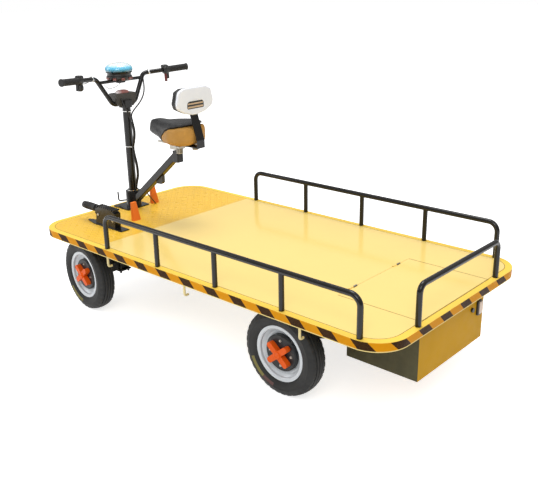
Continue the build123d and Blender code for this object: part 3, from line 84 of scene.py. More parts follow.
class Nodes:
    """A node tree, with short calls for the nodes that the looks need."""

    def __init__(self, tree):
        self.tree = tree

    def put(self, socket, value):
        """A wire from another node, or else a constant on the socket itself."""
        if isinstance(value, bpy.types.NodeSocket):
            self.tree.links.new(value, socket)
        elif socket.type == "RGBA":
            socket.default_value = (*value, 1.0)
        else:
            socket.default_value = value

    def add(self, kind, inputs=None, **settings):
        node = self.tree.nodes.new(kind)
        for key, value in settings.items():
            setattr(node, key, value)
        for key, value in (inputs or {}).items():
            self.put(node.inputs[key], value)
        return node

    def calc(self, operation, first, second=None, clamp=False):
        node = self.add("ShaderNodeMath", {0: first}, operation=operation, use_clamp=clamp)
        if second is not None:
            self.put(node.inputs[1], second)
        return node.outputs[0]

    def product(self, first, *others):
        for other in others:
            first = self.calc("MULTIPLY", first, other)
        return first

    def split(self, vector):
        return self.add("ShaderNodeSeparateXYZ", {0: vector}).outputs

    def ramp(self, factor, low_value=0.0, high_value=1.0, low=0.3, high=0.7):
        """A clamped ramp. Most of a noise lies between the default limits."""
        limits = {"From Min": low, "From Max": high, "To Min": low_value, "To Max": high_value}
        return self.add("ShaderNodeMapRange", {"Value": factor, **limits}).outputs["Result"]

    def mix(self, factor, first, second):
        inputs = {"Factor": factor, 6: first, 7: second}
        return self.add("ShaderNodeMix", inputs, data_type="RGBA").outputs[2]

    def bump(self, height, strength, distance, normal=None):
        node = self.add("ShaderNodeBump", {"Height": height, "Strength": strength, "Distance": distance})
        if normal is not None:
            self.put(node.inputs["Normal"], normal)
        return node.outputs["Normal"]


class Look(Nodes):
    """A new material, whose patterns follow the piece's own coordinates."""

    def __init__(self, name):
        self.material = new_material(name)
        super().__init__(self.material.node_tree)
        self.where = self.add("ShaderNodeTexCoord").outputs["Object"]

    def noise(self, scale, detail=3.0, roughness=0.55, distortion=0.0):
        inputs = {"Vector": self.where, "Scale": scale, "Detail": detail, "Roughness": roughness,
                  "Distortion": distortion}
        return self.add("ShaderNodeTexNoise", inputs).outputs["Fac"]

    def grain(self, scale, strength, distance):
        """The bump of a fine, even grain."""
        return self.bump(self.noise(scale, 2.0), strength, distance)

    def facing(self):
        """The parts of the direction in which the surface faces."""
        return self.split(self.add("ShaderNodeNewGeometry").outputs["Normal"])

    def vary(self, factor, colour, darker, lighter):
        """A colour that drifts between two shades of itself."""
        return self.mix(self.ramp(factor), shade(colour, darker), shade(colour, lighter))

    def finish(self, colour, rough, normal, **levels):
        values = {"Base Color": colour, "Roughness": rough, "Normal": normal}
        for word, value in levels.items():
            values[level_sockets[word]] = value
        for key, value in values.items():
            self.put(self.tree.nodes["Principled BSDF"].inputs[key], value)
        return self.material


# Looks

dust_colour = (0.45, 0.42, 0.36)


def paint(name, colour, rough=0.3, spread=0.06, coat=0, metallic=0, grain=220, depth=0.00012,
          dust=0, gloss=0.4):
    """Sprayed metal: faint colour drift, uneven gloss, orange-peel grain and dust in the hollows."""
    look = Look(name)
    fine = look.noise(28)
    coloured = look.vary(look.noise(2.3, 4), colour, 1 - spread, 1 + spread)
    if dust > 0:
        coloured = look.mix(look.ramp(fine, 0, dust, 0.5, 0.8), coloured, dust_colour)
    return look.finish(coloured, look.ramp(fine, rough * 0.85, rough * 1.2), look.grain(grain, 0.25, depth),
                       metallic=metallic, gloss=gloss, coat=coat, coat_rough=0.12)


def rubber(name, colour, rough=0.62):
    """Dull rubber with dusty patches."""
    look = Look(name)
    patch = look.noise(9, 5, 0.6)
    dusty = look.mix(look.ramp(patch, 0, 0.5, 0.42, 0.72), colour, shade(colour, 1.6))
    return look.finish(dusty, look.ramp(patch, rough - 0.06, rough + 0.1), look.grain(900, 0.35, 0.0002))


def plastic(name, colour, rough=0.45, grain=700, depth=0.00015, coat=0):
    """Moulded plastic with a fine grain."""
    look = Look(name)
    drift = look.noise(14)
    return look.finish(look.vary(drift, colour, 0.92, 1.08), look.ramp(drift, rough * 0.9, rough * 1.15),
                       look.grain(grain, 0.3, depth), coat=coat)


def metal(name, colour, rough):
    """Bare metal, cloudy and finely scratched."""
    look = Look(name)
    fine = look.noise(160, 4)
    cloud = look.noise(20, 4)
    return look.finish(look.vary(cloud, colour, 0.8, 1), look.ramp(fine, rough * 0.8, rough * 1.3),
                       look.bump(fine, 0.2, 0.0001), metallic=1)


rim_yellow = rgb(246, 206, 88)
band_orange = rgb(216, 144, 10)
band_black = rgb(32, 16, 8)
lip_cream = rgb(238, 214, 140)
box_ochre = rgb(200, 150, 20)
box_olive = rgb(92, 88, 66)

# The deck's outline, for the hazard band
rim_low, rim_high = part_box("rim_frame")
deck_low, deck_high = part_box("deck_plate")
deck_top, band_low = deck_high.z, rim_low.z
corner_radius = 0.13
straight_x = rim_high.x - corner_radius
straight_y = rim_high.y - corner_radius
quarter = straight_x + corner_radius * math.pi / 2 + straight_y
patch_count = 41
patch_pitch = 4 * quarter / patch_count
patch_phase = -0.786
patch_share = 0.46
patch_wobble = 0.003
strip_edge = 0.0015
lip_height = 0.0035
skin_depth = 0.0012
# keeps the count of patches above zero all the way round
whole_turns = 100


def hazard_band(name):
    """Pale strip on top, and slanted dark patches at an even pitch right round the band."""
    look = Look(name)
    calc = look.calc
    x, y, z = look.split(look.where)
    away_x = calc("ABSOLUTE", x)
    away_y = calc("ABSOLUTE", y)
    past_x = calc("MAXIMUM", calc("SUBTRACT", away_x, straight_x), 0)
    past_y = calc("MAXIMUM", calc("SUBTRACT", away_y, straight_y), 0)
    # the way from the middle of a long side: along the side, round the corner, along the end
    turn = calc("MULTIPLY", calc("ARCTAN2", past_x, past_y), corner_radius)
    rest = calc("SUBTRACT", straight_y, calc("MINIMUM", away_y, straight_y))
    along = calc("ADD", calc("ADD", calc("MINIMUM", away_x, straight_x), turn), rest)
    signed = calc("MULTIPLY", along, calc("SIGN", x))
    is_left = calc("GREATER_THAN", y, 0)
    left_path = look.product(signed, -1, is_left)
    right_path = calc("MULTIPLY", calc("ADD", signed, 2 * quarter), calc("SUBTRACT", 1, is_left))
    path = calc("ADD", left_path, right_path)
    path = calc("ADD", path, calc("SUBTRACT", z, (deck_top + band_low) / 2))
    wobble = calc("MULTIPLY", calc("SUBTRACT", look.noise(60, 2), 0.5), patch_wobble)
    path = calc("ADD", path, wobble)
    first_patch = patch_phase - patch_pitch * patch_share / 2
    turns = calc("DIVIDE", calc("SUBTRACT", path, first_patch), patch_pitch)
    dark = calc("LESS_THAN", calc("FRACT", calc("ADD", turns, whole_turns)), patch_share)
    # only the upright outer skin carries the band, between the strip on top and the lip below
    upright = calc("LESS_THAN", calc("ABSOLUTE", look.facing()[2]), 0.5)
    below = calc("LESS_THAN", z, deck_top - strip_edge)
    above = calc("GREATER_THAN", z, band_low + lip_height)
    corner = calc("SQRT", calc("ADD", calc("POWER", past_x, 2), calc("POWER", past_y, 2)))
    skin_mask = calc("GREATER_THAN", corner, corner_radius - skin_depth)
    band = look.product(upright, skin_mask, below, above)
    mask = calc("MULTIPLY", band, dark)
    drift = look.noise(3, 4)
    ground = look.vary(drift, band_orange, 0.92, 1.08)
    top = look.mix(calc("SUBTRACT", 1, above), look.vary(drift, rim_yellow, 0.97, 1.02), lip_cream)
    worn = calc("MULTIPLY", mask, look.ramp(look.noise(180, 4), 1, 0.9, 0.3, 0.8))
    return look.finish(look.mix(worn, look.mix(band, top, ground), band_black),
                       look.ramp(look.noise(30), 0.42, 0.54),
                       look.bump(mask, 0.3, 0.0002, look.grain(220, 0.2, 0.0001)), gloss=0.08)


def box_paint(name):
    """Ochre sheet with grey-olive sides."""
    look = Look(name)
    cloud = look.noise(24)
    ochre = look.vary(look.noise(2.6, 4), box_ochre, 0.93, 1.07)
    olive = look.vary(cloud, box_olive, 0.85, 1.12)
    side = look.calc("GREATER_THAN", look.calc("ABSOLUTE", look.facing()[1]), 0.7)
    return look.finish(look.mix(side, ochre, olive), look.ramp(cloud, 0.42, 0.54),
                       look.grain(220, 0.25, 0.00012), gloss=0.08)


def faded_lens(name):
    """Red plastic that pales towards its left end."""
    look = Look(name)
    fade_from, fade_to = 0.012, 0.04
    centred = look.calc("SUBTRACT", look.noise(30), 0.5)
    wander = look.calc("MULTIPLY", centred, (fade_to - fade_from) * 0.4)
    share = look.calc("ADD", look.split(look.where)[1], wander)
    paled = look.ramp(share, 0, 1, fade_from, fade_to)
    return look.finish(look.mix(paled, rgb(176, 112, 104), rgb(238, 232, 230)),
                       look.ramp(look.noise(60), 0.2, 0.26), look.grain(500, 0.1, 0.00008),
                       coat=0.3, glow=0.2, glow_radius=(0.012, 0.014, 0.016), glow_scale=0.4)


def dome_glass(name):
    """Blue beacon: teal at its foot, sky blue on the sides, and near white on the upward-facing crown as a
    painted highlight.
    """
    look = Look(name)
    low, high = (corner.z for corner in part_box("lamp_dome"))
    height = look.ramp(look.split(look.where)[2], 0, 1, low, high)
    # where the dome faces up it is painted near white: a painted highlight
    crown_highlight_share = look.ramp(look.facing()[2], 0, 1, 0.5, 0.98)
    foot_share = look.ramp(height, 1, 0, 0.1, 0.42)
    cells = look.noise(70, 2)
    sky = look.mix(look.ramp(cells), rgb(92, 190, 228), rgb(120, 208, 238))
    sides = look.mix(crown_highlight_share, sky, rgb(232, 240, 240))
    return look.finish(look.mix(foot_share, sides, rgb(20, 84, 100)), look.ramp(cells, 0.1, 0.16),
                       look.grain(120, 0.12, 0.0002), coat=0.6, glow=0.25,
                       glow_radius=(0.01, 0.02, 0.03), glow_scale=0.3)


def leather(name, colour, rough=0.5, cell=520, depth=0.0006):
    """Grained covering: small cells, fine creases and a sheen worn on the high places."""
    look = Look(name)
    inputs = {"Vector": look.where, "Scale": cell}
    cells = look.add("ShaderNodeTexVoronoi", inputs, feature="DISTANCE_TO_EDGE").outputs["Distance"]
    raised = look.ramp(cells, 0, 1, 0, 0.35)
    drift = look.noise(11, 4)
    crease = look.noise(60, 5, 0.6, 1.2)
    worn = look.vary(drift, colour, 0.84, 1.14)
    worn = look.mix(look.ramp(crease, 0, 0.35, 0.62, 0.78), worn, shade(colour, 0.55))
    return look.finish(worn, look.ramp(drift, rough - 0.05, rough + 0.08),
                       look.bump(raised, 0.4, depth, look.bump(crease, 0.25, 0.0008)), gloss=0.3)


def shell_plastic(name):
    """White moulding with a dark rim next to the pad."""
    look = Look(name)
    rim_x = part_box("backrest_shell")[0].x + 0.011
    rim = look.calc("GREATER_THAN", look.split(look.where)[0], rim_x)
    drift = look.noise(14)
    white = look.mix(look.ramp(drift), rgb(232, 236, 244), rgb(242, 244, 250))
    return look.finish(look.mix(rim, white, rgb(38, 38, 40)), look.ramp(drift, 0.27, 0.35),
                       look.grain(700, 0.2, 0.0001), coat=0.2)


# columns: name, colour, roughness, and what differs from the usual
finish = {
    "deck": paint("deck_gloss", rgb(248, 216, 126), 0.16, spread=0.02, coat=0.3, grain=60, depth=0.00025),
    "tread": paint("tread_gloss", rgb(238, 190, 62), spread=0.05, coat=0.1, gloss=0.25),
    "band": hazard_band("hazard_band"),
    "tube": paint("tube_black", rgb(16, 14, 11), 0.24, spread=0.15, coat=0.2, gloss=0.3),
    "frame": paint("frame_black", rgb(28, 28, 27), 0.55, spread=0.2, dust=0.15, gloss=0.2),
    "box": box_paint("box_ochre"),
    "battery": plastic("battery_case", rgb(40, 40, 42), 0.5),
    "moulded": plastic("moulded_black", rgb(34, 34, 34), 0.42),
    "case": plastic("case_grey", rgb(60, 57, 52), 0.5, grain=500, depth=0.0002),
    "forged": paint("forged_black", rgb(36, 34, 32), 0.55, spread=0.25, grain=90, depth=0.0006,
                    dust=0.2, gloss=0.25),
    "zinc": metal("zinc_plate", (0.46, 0.44, 0.39), 0.38),
    "polished": metal("polished_steel", (0.8, 0.8, 0.78), 0.2),
    "cream": paint("hook_cream", rgb(226, 208, 150), 0.45, spread=0.12, gloss=0.3),
    "motor": paint("motor_grey", rgb(58, 58, 60), 0.45, spread=0.15, dust=0.3),
    "tan": leather("saddle_tan", rgb(186, 138, 66)),
    "cover": leather("saddle_black", rgb(46, 46, 47), 0.42, cell=640, depth=0.0004),
    "piping": leather("saddle_piping", rgb(30, 29, 28), 0.4, cell=900, depth=0.0002),
    "shell": shell_plastic("shell_white"),
    "orange": paint("cover_orange", rgb(232, 92, 14), 0.42, spread=0.08, gloss=0.2),
    "pedal": paint("pedal_orange", rgb(236, 120, 40), 0.4, spread=0.08, gloss=0.25),
    "rubber": rubber("grip_rubber", rgb(34, 33, 33)),
    "tyre": rubber("tyre_rubber", rgb(22, 22, 21), 0.66),
    "mark_yellow": rubber("tyre_mark_yellow", rgb(116, 108, 56), 0.66),
    "mark_red": rubber("tyre_mark_red", rgb(86, 58, 54), 0.66),
    "rim": paint("rim_silver", rgb(206, 211, 215), 0.34, spread=0.05, coat=0.1, metallic=0.1),
    "hub": paint("drum_black", rgb(30, 32, 34), 0.42, spread=0.2, dust=0.12, gloss=0.3),
    "red": faded_lens("lens_red"),
    "dark_red": plastic("lever_red", rgb(96, 26, 24), 0.4),
    # pink patches on the lamp's foot: painted reflections
    "pink": plastic("painted_reflection_pink", rgb(132, 74, 66), 0.35, coat=0.4),
    "blue": dome_glass("lens_blue"),
    "pale": plastic("cover_pale", rgb(226, 204, 186), 0.4),
    "beige": plastic("bar_beige", rgb(206, 176, 140)),
    "seal": plastic("hatch_seal", rgb(58, 42, 16), 0.8),
    "seam": plastic("seam_shadow", rgb(120, 92, 30), 0.7),
}

# The CAD nodes that each finish goes on
nodes_with = {
    "band": ["rim_frame"],
    "deck": ["deck_plate", "hatch"],
    "tread": ["tread_plate"],
    "frame": ["chassis_frame", "spring_hangers", "front_axle", "rear_axle"],
    "tube": ["left_rail", "right_rail", "rear_rail", "steering_head", "steering_column", "handlebar",
             "stem_clamp", "seat_post", "backrest_strap", "handbrake_base"],
    "cream": ["rope_hooks"],
    "box": ["battery_bay"],
    "battery": ["battery_pack"],
    "moulded": ["charge_socket", "bar_controls", "lamp_base", "saddle_top", "backrest_pad"],
    "zinc": ["hatch_hinges", "saddle_carrier"],
    "forged": ["front_springs", "rear_springs", "left_knuckle", "right_knuckle", "track_rod", "drag_link"],
    "motor": ["drive_motor"],
    "rubber": ["grips", "cable_loom", "handbrake_lever"],
    "case": ["instrument_box"],
    "red": ["instrument_lens"],
    "blue": ["lamp_dome"],
    "tan": ["saddle_skirt"],
    "shell": ["backrest_shell"],
    "pedal": ["foot_pedals"],
}
wheel_names = ("front_left", "front_right", "rear_left", "rear_right")
for kind, ending in (("tyre", "_tyre"), ("rim", "_rim"), ("hub", "_hub"), ("orange", "_hub_cover")):
    nodes_with[kind] = [wheel + ending for wheel in wheel_names]
for kind, node_names in nodes_with.items():
    for node in node_names:
        slots = nodes[node].data.materials
        slots.clear()
        slots.append(finish[kind])


# Mesh helpers

sharp_angle = math.radians(50)
up_z = Vector((0, 0, 1))
ahead = Vector((1, 0, 0))


def linked(name, data):
    """A new object in the scene."""
    thing = bpy.data.objects.new(name, data)
    scene.collection.objects.link(thing)
    return thing


def settle(piece, body, replaced=()):
    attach(piece, body)
    if replaced:
        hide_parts(*replaced)


def build(name, shapes, kind, body, replaced=(), smooth=True, marks=(), mark_kinds=()):
    """One piece from lists of vertices and faces, riding on a body."""
    vertices, faces = [], []
    for shape_vertices, shape_faces in shapes:
        start = len(vertices)
        vertices.extend(shape_vertices)
        faces.extend(tuple(index + start for index in face) for face in shape_faces)
    mesh = bpy.data.meshes.new(name)
    mesh.from_pydata([tuple(vertex) for vertex in vertices], [], faces)
    for word in (kind, *mark_kinds):
        mesh.materials.append(finish[word])
    for polygon, mark in zip(mesh.polygons, marks):
        polygon.material_index = mark
    solid = bmesh.new()
    solid.from_mesh(mesh)
    bmesh.ops.recalc_face_normals(solid, faces=solid.faces)
    for face in solid.faces:
        face.smooth = smooth
    for edge in solid.edges:
        edge.smooth = not (edge.is_manifold and edge.calc_face_angle() > sharp_angle)
    solid.to_mesh(mesh)
    solid.free()
    settle(linked(name, mesh), body, replaced)


def skin(rings, sides, closed=False):
    """Faces round a stack of rings, which has a cap at each end or closes on itself."""
    faces = []
    for ring in range(rings if closed else rings - 1):
        low, high = ring * sides, (ring + 1) % rings * sides
        for step in range(sides):
            after = (step + 1) % sides
            faces.append((low + step, low + after, high + after, high + step))
    if not closed:
        faces.append(tuple(range(sides)))
        faces.append(tuple(range((rings - 1) * sides, rings * sides)))
    return faces


def spokes(axis, start, count):
    """Unit spokes round an axis, the first towards start."""
    side = (start - start.project(axis)).normalized()
    third = axis.cross(side)
    for step in range(count):
        angle = 2 * math.pi * step / count
        yield math.cos(angle) * side + math.sin(angle) * third


def spin(profile, centre, axis, start, count, shape=None, closed=False):
    """A profile of (radius, along) turned about an axis: a closed ring, or capped at both ends."""
    centre, axis = Vector(centre), Vector(axis).normalized()
    turned = list(spokes(axis, start, count))
    vertices = []
    for index, spot in enumerate(profile):
        for step, spoke in enumerate(turned):
            radius, along = shape(index, step, *spot) if shape else spot
            vertices.append(centre + spoke * radius + axis * along)
    return vertices, skin(len(profile), count, closed)


def tube(points, radii, sides):
    """A capped tube along points, with one radius or a radius at each."""
    points = [Vector(point) for point in points]
    if isinstance(radii, float):
        radii = [radii] * len(points)
    vertices = []
    side = (points[1] - points[0]).normalized().orthogonal().normalized()
    for index, point in enumerate(points):
        before = points[max(index - 1, 0)]
        after = points[min(index + 1, len(points) - 1)]
        heading = (after - before).normalized()
        side = (side - side.project(heading)).normalized()
        vertices += [point + radii[index] * spoke for spoke in spokes(heading, side, sides)]
    return vertices, skin(len(points), sides)


def block(centre, size, rounding, turn=None, steps=3):
    """A box with rounded edges, turned about its centre."""
    solid = bmesh.new()
    bmesh.ops.create_cube(solid, size=1)
    for vertex in solid.verts:
        vertex.co = Vector(a * b for a, b in zip(vertex.co, size))
    bmesh.ops.bevel(solid, geom=list(solid.edges), offset=rounding, segments=steps, profile=0.5,
                    affect="EDGES", clamp_overlap=True)
    if turn is not None:
        bmesh.ops.transform(solid, matrix=turn.to_4x4(), verts=solid.verts)
    solid.verts.ensure_lookup_table()
    vertices = [vertex.co + Vector(centre) for vertex in solid.verts]
    faces = [tuple(vertex.index for vertex in face.verts) for face in solid.faces]
    solid.free()
    return vertices, faces


def prism(outline, low, high):
    """An x, z outline pushed from one y to another."""
    return [(x, y, z) for y in (low, high) for x, z in outline], skin(2, len(outline))


def bake(piece):
    """The piece's mesh with its modifiers applied, and none left on it."""
    evaluated = piece.evaluated_get(bpy.context.evaluated_depsgraph_get())
    mesh = bpy.data.meshes.new_from_object(evaluated)
    piece.modifiers.clear()
    piece.data = mesh


def ease(piece, width, segments, angle):
    """The solid's split edges are joined, and those sharper than the angle are rounded."""
    weld = piece.modifiers.new("weld", "WELD")
    weld.merge_threshold = 0.00002
    bevel = piece.modifiers.new("ease", "BEVEL")
    bevel.width = width
    bevel.segments = segments
    bevel.limit_method = "ANGLE"
    bevel.angle_limit = math.radians(angle)


def node_copy(node, name, form=Vector.copy):
    """A new object with a CAD node's mesh, each point moved by form."""
    mesh = nodes[node].data.copy()
    for vertex in mesh.vertices:
        vertex.co = form(vertex.co)
    return linked(name, mesh)


def stretched(spot, fixed, factors, moved=Vector()):
    """A spot after stretching about a fixed point, and then moving."""
    return fixed + moved + Vector(a * b for a, b in zip(spot - fixed, factors))


# How far the edges of the carried-over nodes are rounded
eased = {
    "stem_clamp": 0.0025, "foot_pedals": 0.003, "battery_bay": 0.0012,
    "handbrake_base": 0.0008, "charge_socket": 0.0015, "steering_head": 0.001,
    "lamp_base": 0.0015, "battery_pack": 0.003, "seat_post": 0.0025, "backrest_strap": 0.0012,
    "saddle_carrier": 0.0006, "bar_controls": 0.0015,
}
for node, width in eased.items():
    ease(nodes[node], width, segments=2, angle=38)

# Wheels. columns: centre, outward axis
tyre_radius = 0.176
rest_steer = math.radians(-5)
steered_axis = Vector((-math.sin(rest_steer), math.cos(rest_steer), 0))
straight_axis = Vector((0, 1, 0))
wheels = {
    "front_left": (Vector((0.77762, 0.38571, tyre_radius)), steered_axis),
    "front_right": (Vector((0.76438, -0.38571, tyre_radius)), -steered_axis),
    "rear_left": (Vector((-0.474, 0.386, tyre_radius)), straight_axis),
    "rear_right": (Vector((-0.474, -0.386, tyre_radius)), -straight_axis),
}
tread_half = 0.0335
crown_drop = 0.0062
groove_depth = 0.0042
rib_edge = 0.0007
rib_lean = 0.0002
ribs = ((-0.0335, -0.0225), (-0.019, -0.0085), (-0.0055, 0.0055), (0.0085, 0.019), (0.0225, 0.0335))


def crown(along):
    return tyre_radius - crown_drop * (along / tread_half) ** 2


# radius and width of the sidewall, from the bead to the shoulder
wall = [(0.1118, 0.029), (0.1148, 0.0312), (0.1172, 0.035), (0.123, 0.0388), (0.13, 0.0418),
        (0.138, 0.043), (0.145, 0.0428), (0.1463, 0.0434), (0.148, 0.0434), (0.1493, 0.0424),
        (0.156, 0.0402), (0.162, 0.0375)]
tread = []
for rib_low, rib_high in ribs:
    rib_middle = (rib_low + rib_high) / 2
    for limit, inward in ((rib_low, 1), (rib_high, -1)):
        side = [(crown(limit) - groove_depth, limit), (crown(limit) - rib_edge, limit + inward * rib_lean),
                (crown(limit + inward * rib_edge), limit + inward * rib_edge)]
        tread += side + [(crown(rib_middle), rib_middle)] if inward > 0 else side[::-1]
# the outer ribs run into the shoulders, so their outside grooves are left out
tread = tread[1:-1]
tyre_profile = [(radius, -along) for radius, along in wall] + tread + wall[::-1]
tyre_steps = 216
lug_every, lug_width, lug_reach = 6, 2, 2
lug_depth, lug_pull = 0.0014, 0.985


def lugs(index, step, radius, along):
    """Short notches in both shoulders."""
    from_edge = min(abs(index - len(wall) - 1), abs(index - len(tyre_profile) + len(wall) + 2))
    if step % lug_every < lug_width and from_edge <= lug_reach:
        return radius - lug_depth, along * lug_pull
    return radius, along


# Worn marks. columns: wheel, low and high angle from the front in degrees below the hub, mark
tyre_marks = (
    ("rear_left", 20, 56, 1), ("rear_left", 56, 80, 2), ("front_left", 38, 84, 1),
    ("rear_right", 124, 160, 1), ("rear_right", 100, 124, 2), ("front_right", 96, 142, 1),
)
mark_low, mark_high, mark_out = 0.127, 0.1455, 0.03


def mark_at(wheel, outward, spot):
    """The number of the mark that covers a spot on the tyre, seen from its hub, or 0."""
    out = spot.dot(outward)
    flat = spot - outward * out
    angle = math.degrees(math.atan2(-flat.z, flat.x)) % 360
    if out > mark_out and mark_low < flat.length < mark_high:
        for marked, low, high, mark in tyre_marks:
            if marked == wheel and low <= angle <= high:
                return mark
    return 0


valve_profile = [(0.005, 0), (0.0055, 0.004), (0.0042, 0.008), (0.0042, 0.018), (0.005, 0.019),
                 (0.005, 0.027), (0.0038, 0.029)]
bolt_profile = [(0.004, 0), (0.004, 0.004), (0.0032, 0.0048)]
washer_profile = [(0.0056, 0), (0.0056, 0.0008), (0.005, 0.0011)]
boss_profile = [(0.0165, 0), (0.0165, 0.0022), (0.015, 0.0036), (0.0095, 0.004), (0.0085, 0.003),
                (0.003, 0.0028)]
valve_side = Vector((-0.052, 0, 0.058))
valve_reach, valve_out = 0.084, 0.004
bolt_reach, bolt_out, boss_out = 0.052, 0.0255, 0.0478

for wheel, (hub, outward) in wheels.items():
    body = wheel + "_wheel"
    tyre_vertices, tyre_faces = spin(tyre_profile, hub, outward, ahead, tyre_steps, lugs, closed=True)
    marks = []
    for face in tyre_faces:
        middle = sum((tyre_vertices[index] for index in face), Vector()) / len(face)
        marks.append(mark_at(wheel, outward, middle - hub))
    build(wheel + "_ribbed_tyre", [(tyre_vertices, tyre_faces)], "tyre", body, (wheel + "_tyre",),
          marks=marks, mark_kinds=("mark_yellow", "mark_red"))
    # a valve in the rim, leaning out of its well
    rear_up = (valve_side - valve_side.project(outward)).normalized()
    foot = hub + rear_up * valve_reach + outward * valve_out
    valve = spin(valve_profile, foot, outward * 0.9 + rear_up * 0.25, up_z, 14)
    build(wheel + "_valve", [valve], "rubber", body)
    # bolts with washers between the arms of the cover, and a cap in the middle
    bolts = []
    first = (up_z - up_z.project(outward)).normalized()
    for spoke in spokes(outward, first, 4):
        seat = hub + spoke * bolt_reach + outward * bolt_out
        bolts.append(spin(bolt_profile, seat, outward, first, 6))
        bolts.append(spin(washer_profile, seat, outward, first, 18))
    build(wheel + "_drum_bolts", bolts, "zinc", body, smooth=False)
    boss = spin(boss_profile, hub + outward * boss_out, outward, first, 28)
    build(wheel + "_cover_boss", [boss], "orange", body)

# Tread lozenges on the front plate, wherever the plate is under them
tread_tree = BVHTree.FromObject(nodes["tread_plate"], bpy.context.evaluated_depsgraph_get())
tread_low, tread_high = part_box("tread_plate")
lozenge_long = 0.0125
lozenge = ((lozenge_long, 0), (0.0055, 0.003), (-0.0055, 0.003), (-lozenge_long, 0), (-0.0055, -0.003),
           (0.0055, -0.003))
lozenge_height = 0.0011
lozenge_pitch = 0.0215
lozenge_edge = 0.006
# columns: scale and height of each ring, from the foot up
lozenge_rings = ((1, -0.0002), (0.72, lozenge_height * 0.75), (0.42, lozenge_height))


def plate_under(x, y):
    hit = tread_tree.ray_cast(Vector((x, y, tread_high.z + 0.05)), -up_z, 0.06)[0]
    return hit is not None and abs(hit.z - tread_high.z) < 0.0006


lozenges = []
rows = int((tread_high.x - tread_low.x) / lozenge_pitch)
columns = int((tread_high.y - tread_low.y) / lozenge_pitch)
reach = lozenge_long + lozenge_edge
for row in range(rows + 1):
    for column in range(columns + 1):
        middle_x = tread_low.x + (row + 0.5) * lozenge_pitch
        middle_y = (column - columns / 2) * lozenge_pitch
        angle = math.radians(45 if (row + column) % 2 else -45)
        corners = [angle + k * math.pi / 2 for k in range(4)]
        tests = [(reach * math.cos(corner), reach * math.sin(corner)) for corner in corners]
        if not all(plate_under(middle_x + x, middle_y + y) for x, y in tests + [(0, 0)]):
            continue
        across, along = math.cos(angle), math.sin(angle)
        vertices = [(middle_x + scale * (x * across - y * along), middle_y + scale * (x * along + y * across),
                     tread_high.z + height) for scale, height in lozenge_rings for x, y in lozenge]
        lozenges.append((vertices, skin(len(lozenge_rings), len(lozenge))))
build("tread_lozenges", lozenges, "tread", "chassis")

# Seam just inside the rim strip
seam_half_x = max(deck_high.x, -deck_low.x, tread_high.x)
seam_radius = max(0.02, corner_radius - (rim_high.x - seam_half_x))
seam_width = 0.0016
seam_top, seam_bottom = deck_top + 0.00025, deck_top - 0.0004
corner_steps = 10


def ring_points(inset, z):
    """A rounded rectangle inside the rim strip."""
    radius = seam_radius - inset
    points = []
    for index, (sign_x, sign_y) in enumerate(((1, 1), (-1, 1), (-1, -1), (1, -1))):
        for step in range(corner_steps + 1):
            angle = math.pi / 2 * (index + step / corner_steps)
            points.append((sign_x * (seam_half_x - seam_radius) + radius * math.cos(angle),
                           sign_y * (deck_high.y - seam_radius) + radius * math.sin(angle), z))
    return points


seam_rings = [ring_points(inset, z) for inset, z in
              ((0, seam_top), (seam_width, seam_top), (seam_width, seam_bottom), (0, seam_bottom))]
seam = (sum(seam_rings, []), skin(len(seam_rings), len(seam_rings[0]), closed=True))
build("deck_seam", [seam], "seam", "chassis", smooth=False)

# Hatch: a dark seal in its gap, and a shut line beside the gap that is a strip of painted shadow on the deck,
# both along its sides and its tail
hatch_low, hatch_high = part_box("hatch")
hatch_length = hatch_high.x - hatch_low.x
hatch_gap = 0.0015
hinge_clear = 0.008
seal_width, seal_depth, seal_sunk = 0.001, 0.003, 0.0006
line_width, line_depth = 0.0018, 0.0005


def round_hatch(out, width, length, tail_half, z, depth, rounding):
    """Strips beside the hatch, clear of its hinged edge."""
    strips = [block(((hatch_low.x + hatch_high.x - hinge_clear) / 2, side * (hatch_high.y + out), z),
                    (length, width, depth), rounding, steps=1) for side in (1, -1)]
    strips.append(block((hatch_low.x - out, 0, z), (width, 2 * tail_half, depth), rounding, steps=1))
    return strips


line_out = hatch_gap + line_width / 2
line_half = hatch_high.y + line_out
# the shut line is a dark strip on the deck beside the gap: painted shadow
shut_line_shadows = round_hatch(line_out, line_width, hatch_length, line_half, deck_top, line_depth, 0.0001)
build("hatch_shut_line_shadow", shut_line_shadows, "seam", "chassis", smooth=False)
seal_z = deck_top - seal_sunk - seal_depth / 2
seal_length = hatch_length - hinge_clear
seals = round_hatch(hatch_gap / 2, seal_width, seal_length, hatch_high.y, seal_z, seal_depth, 0.0002)
build("hatch_seal", seals, "seal", "chassis", smooth=False)


# Soft goods: the saddle's two coverings and the backrest pad, swollen as cloth, and the backrest's shell

cloth_frames = 20
cloth_settings = {"quality": 5, "mass": 0.3, "tension_stiffness": 15, "compression_stiffness": 15,
                  "bending_stiffness": 2, "use_pressure": True, "uniform_pressure_force": 4}
pad_low, pad_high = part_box("backrest_pad")
pad_middle = (pad_low + pad_high) / 2
pad_lap = Vector((-0.007, 0, 0))
nose_start, nose_limit, nose_height, nose_drop = 0.6, 0.682, 0.875, 0.09


def remeshed(piece, voxel, flat_rounds=0, shrink=0):
    """The piece in even voxels, smoothed, first without moving along x, and drawn in by shrink."""
    remesh = piece.modifiers.new("remesh", "REMESH")
    remesh.mode = "VOXEL"
    remesh.voxel_size = voxel
    bake(piece)
    solid = bmesh.new()
    solid.from_mesh(piece.data)
    for along_x in [False] * flat_rounds + [True] * 3:
        bmesh.ops.smooth_vert(solid, verts=solid.verts, factor=0.5, use_axis_x=along_x, use_axis_y=True,
                              use_axis_z=True)
    solid.normal_update()
    for vertex in solid.verts:
        vertex.co -= vertex.normal * shrink
    solid.to_mesh(piece.data)
    solid.free()


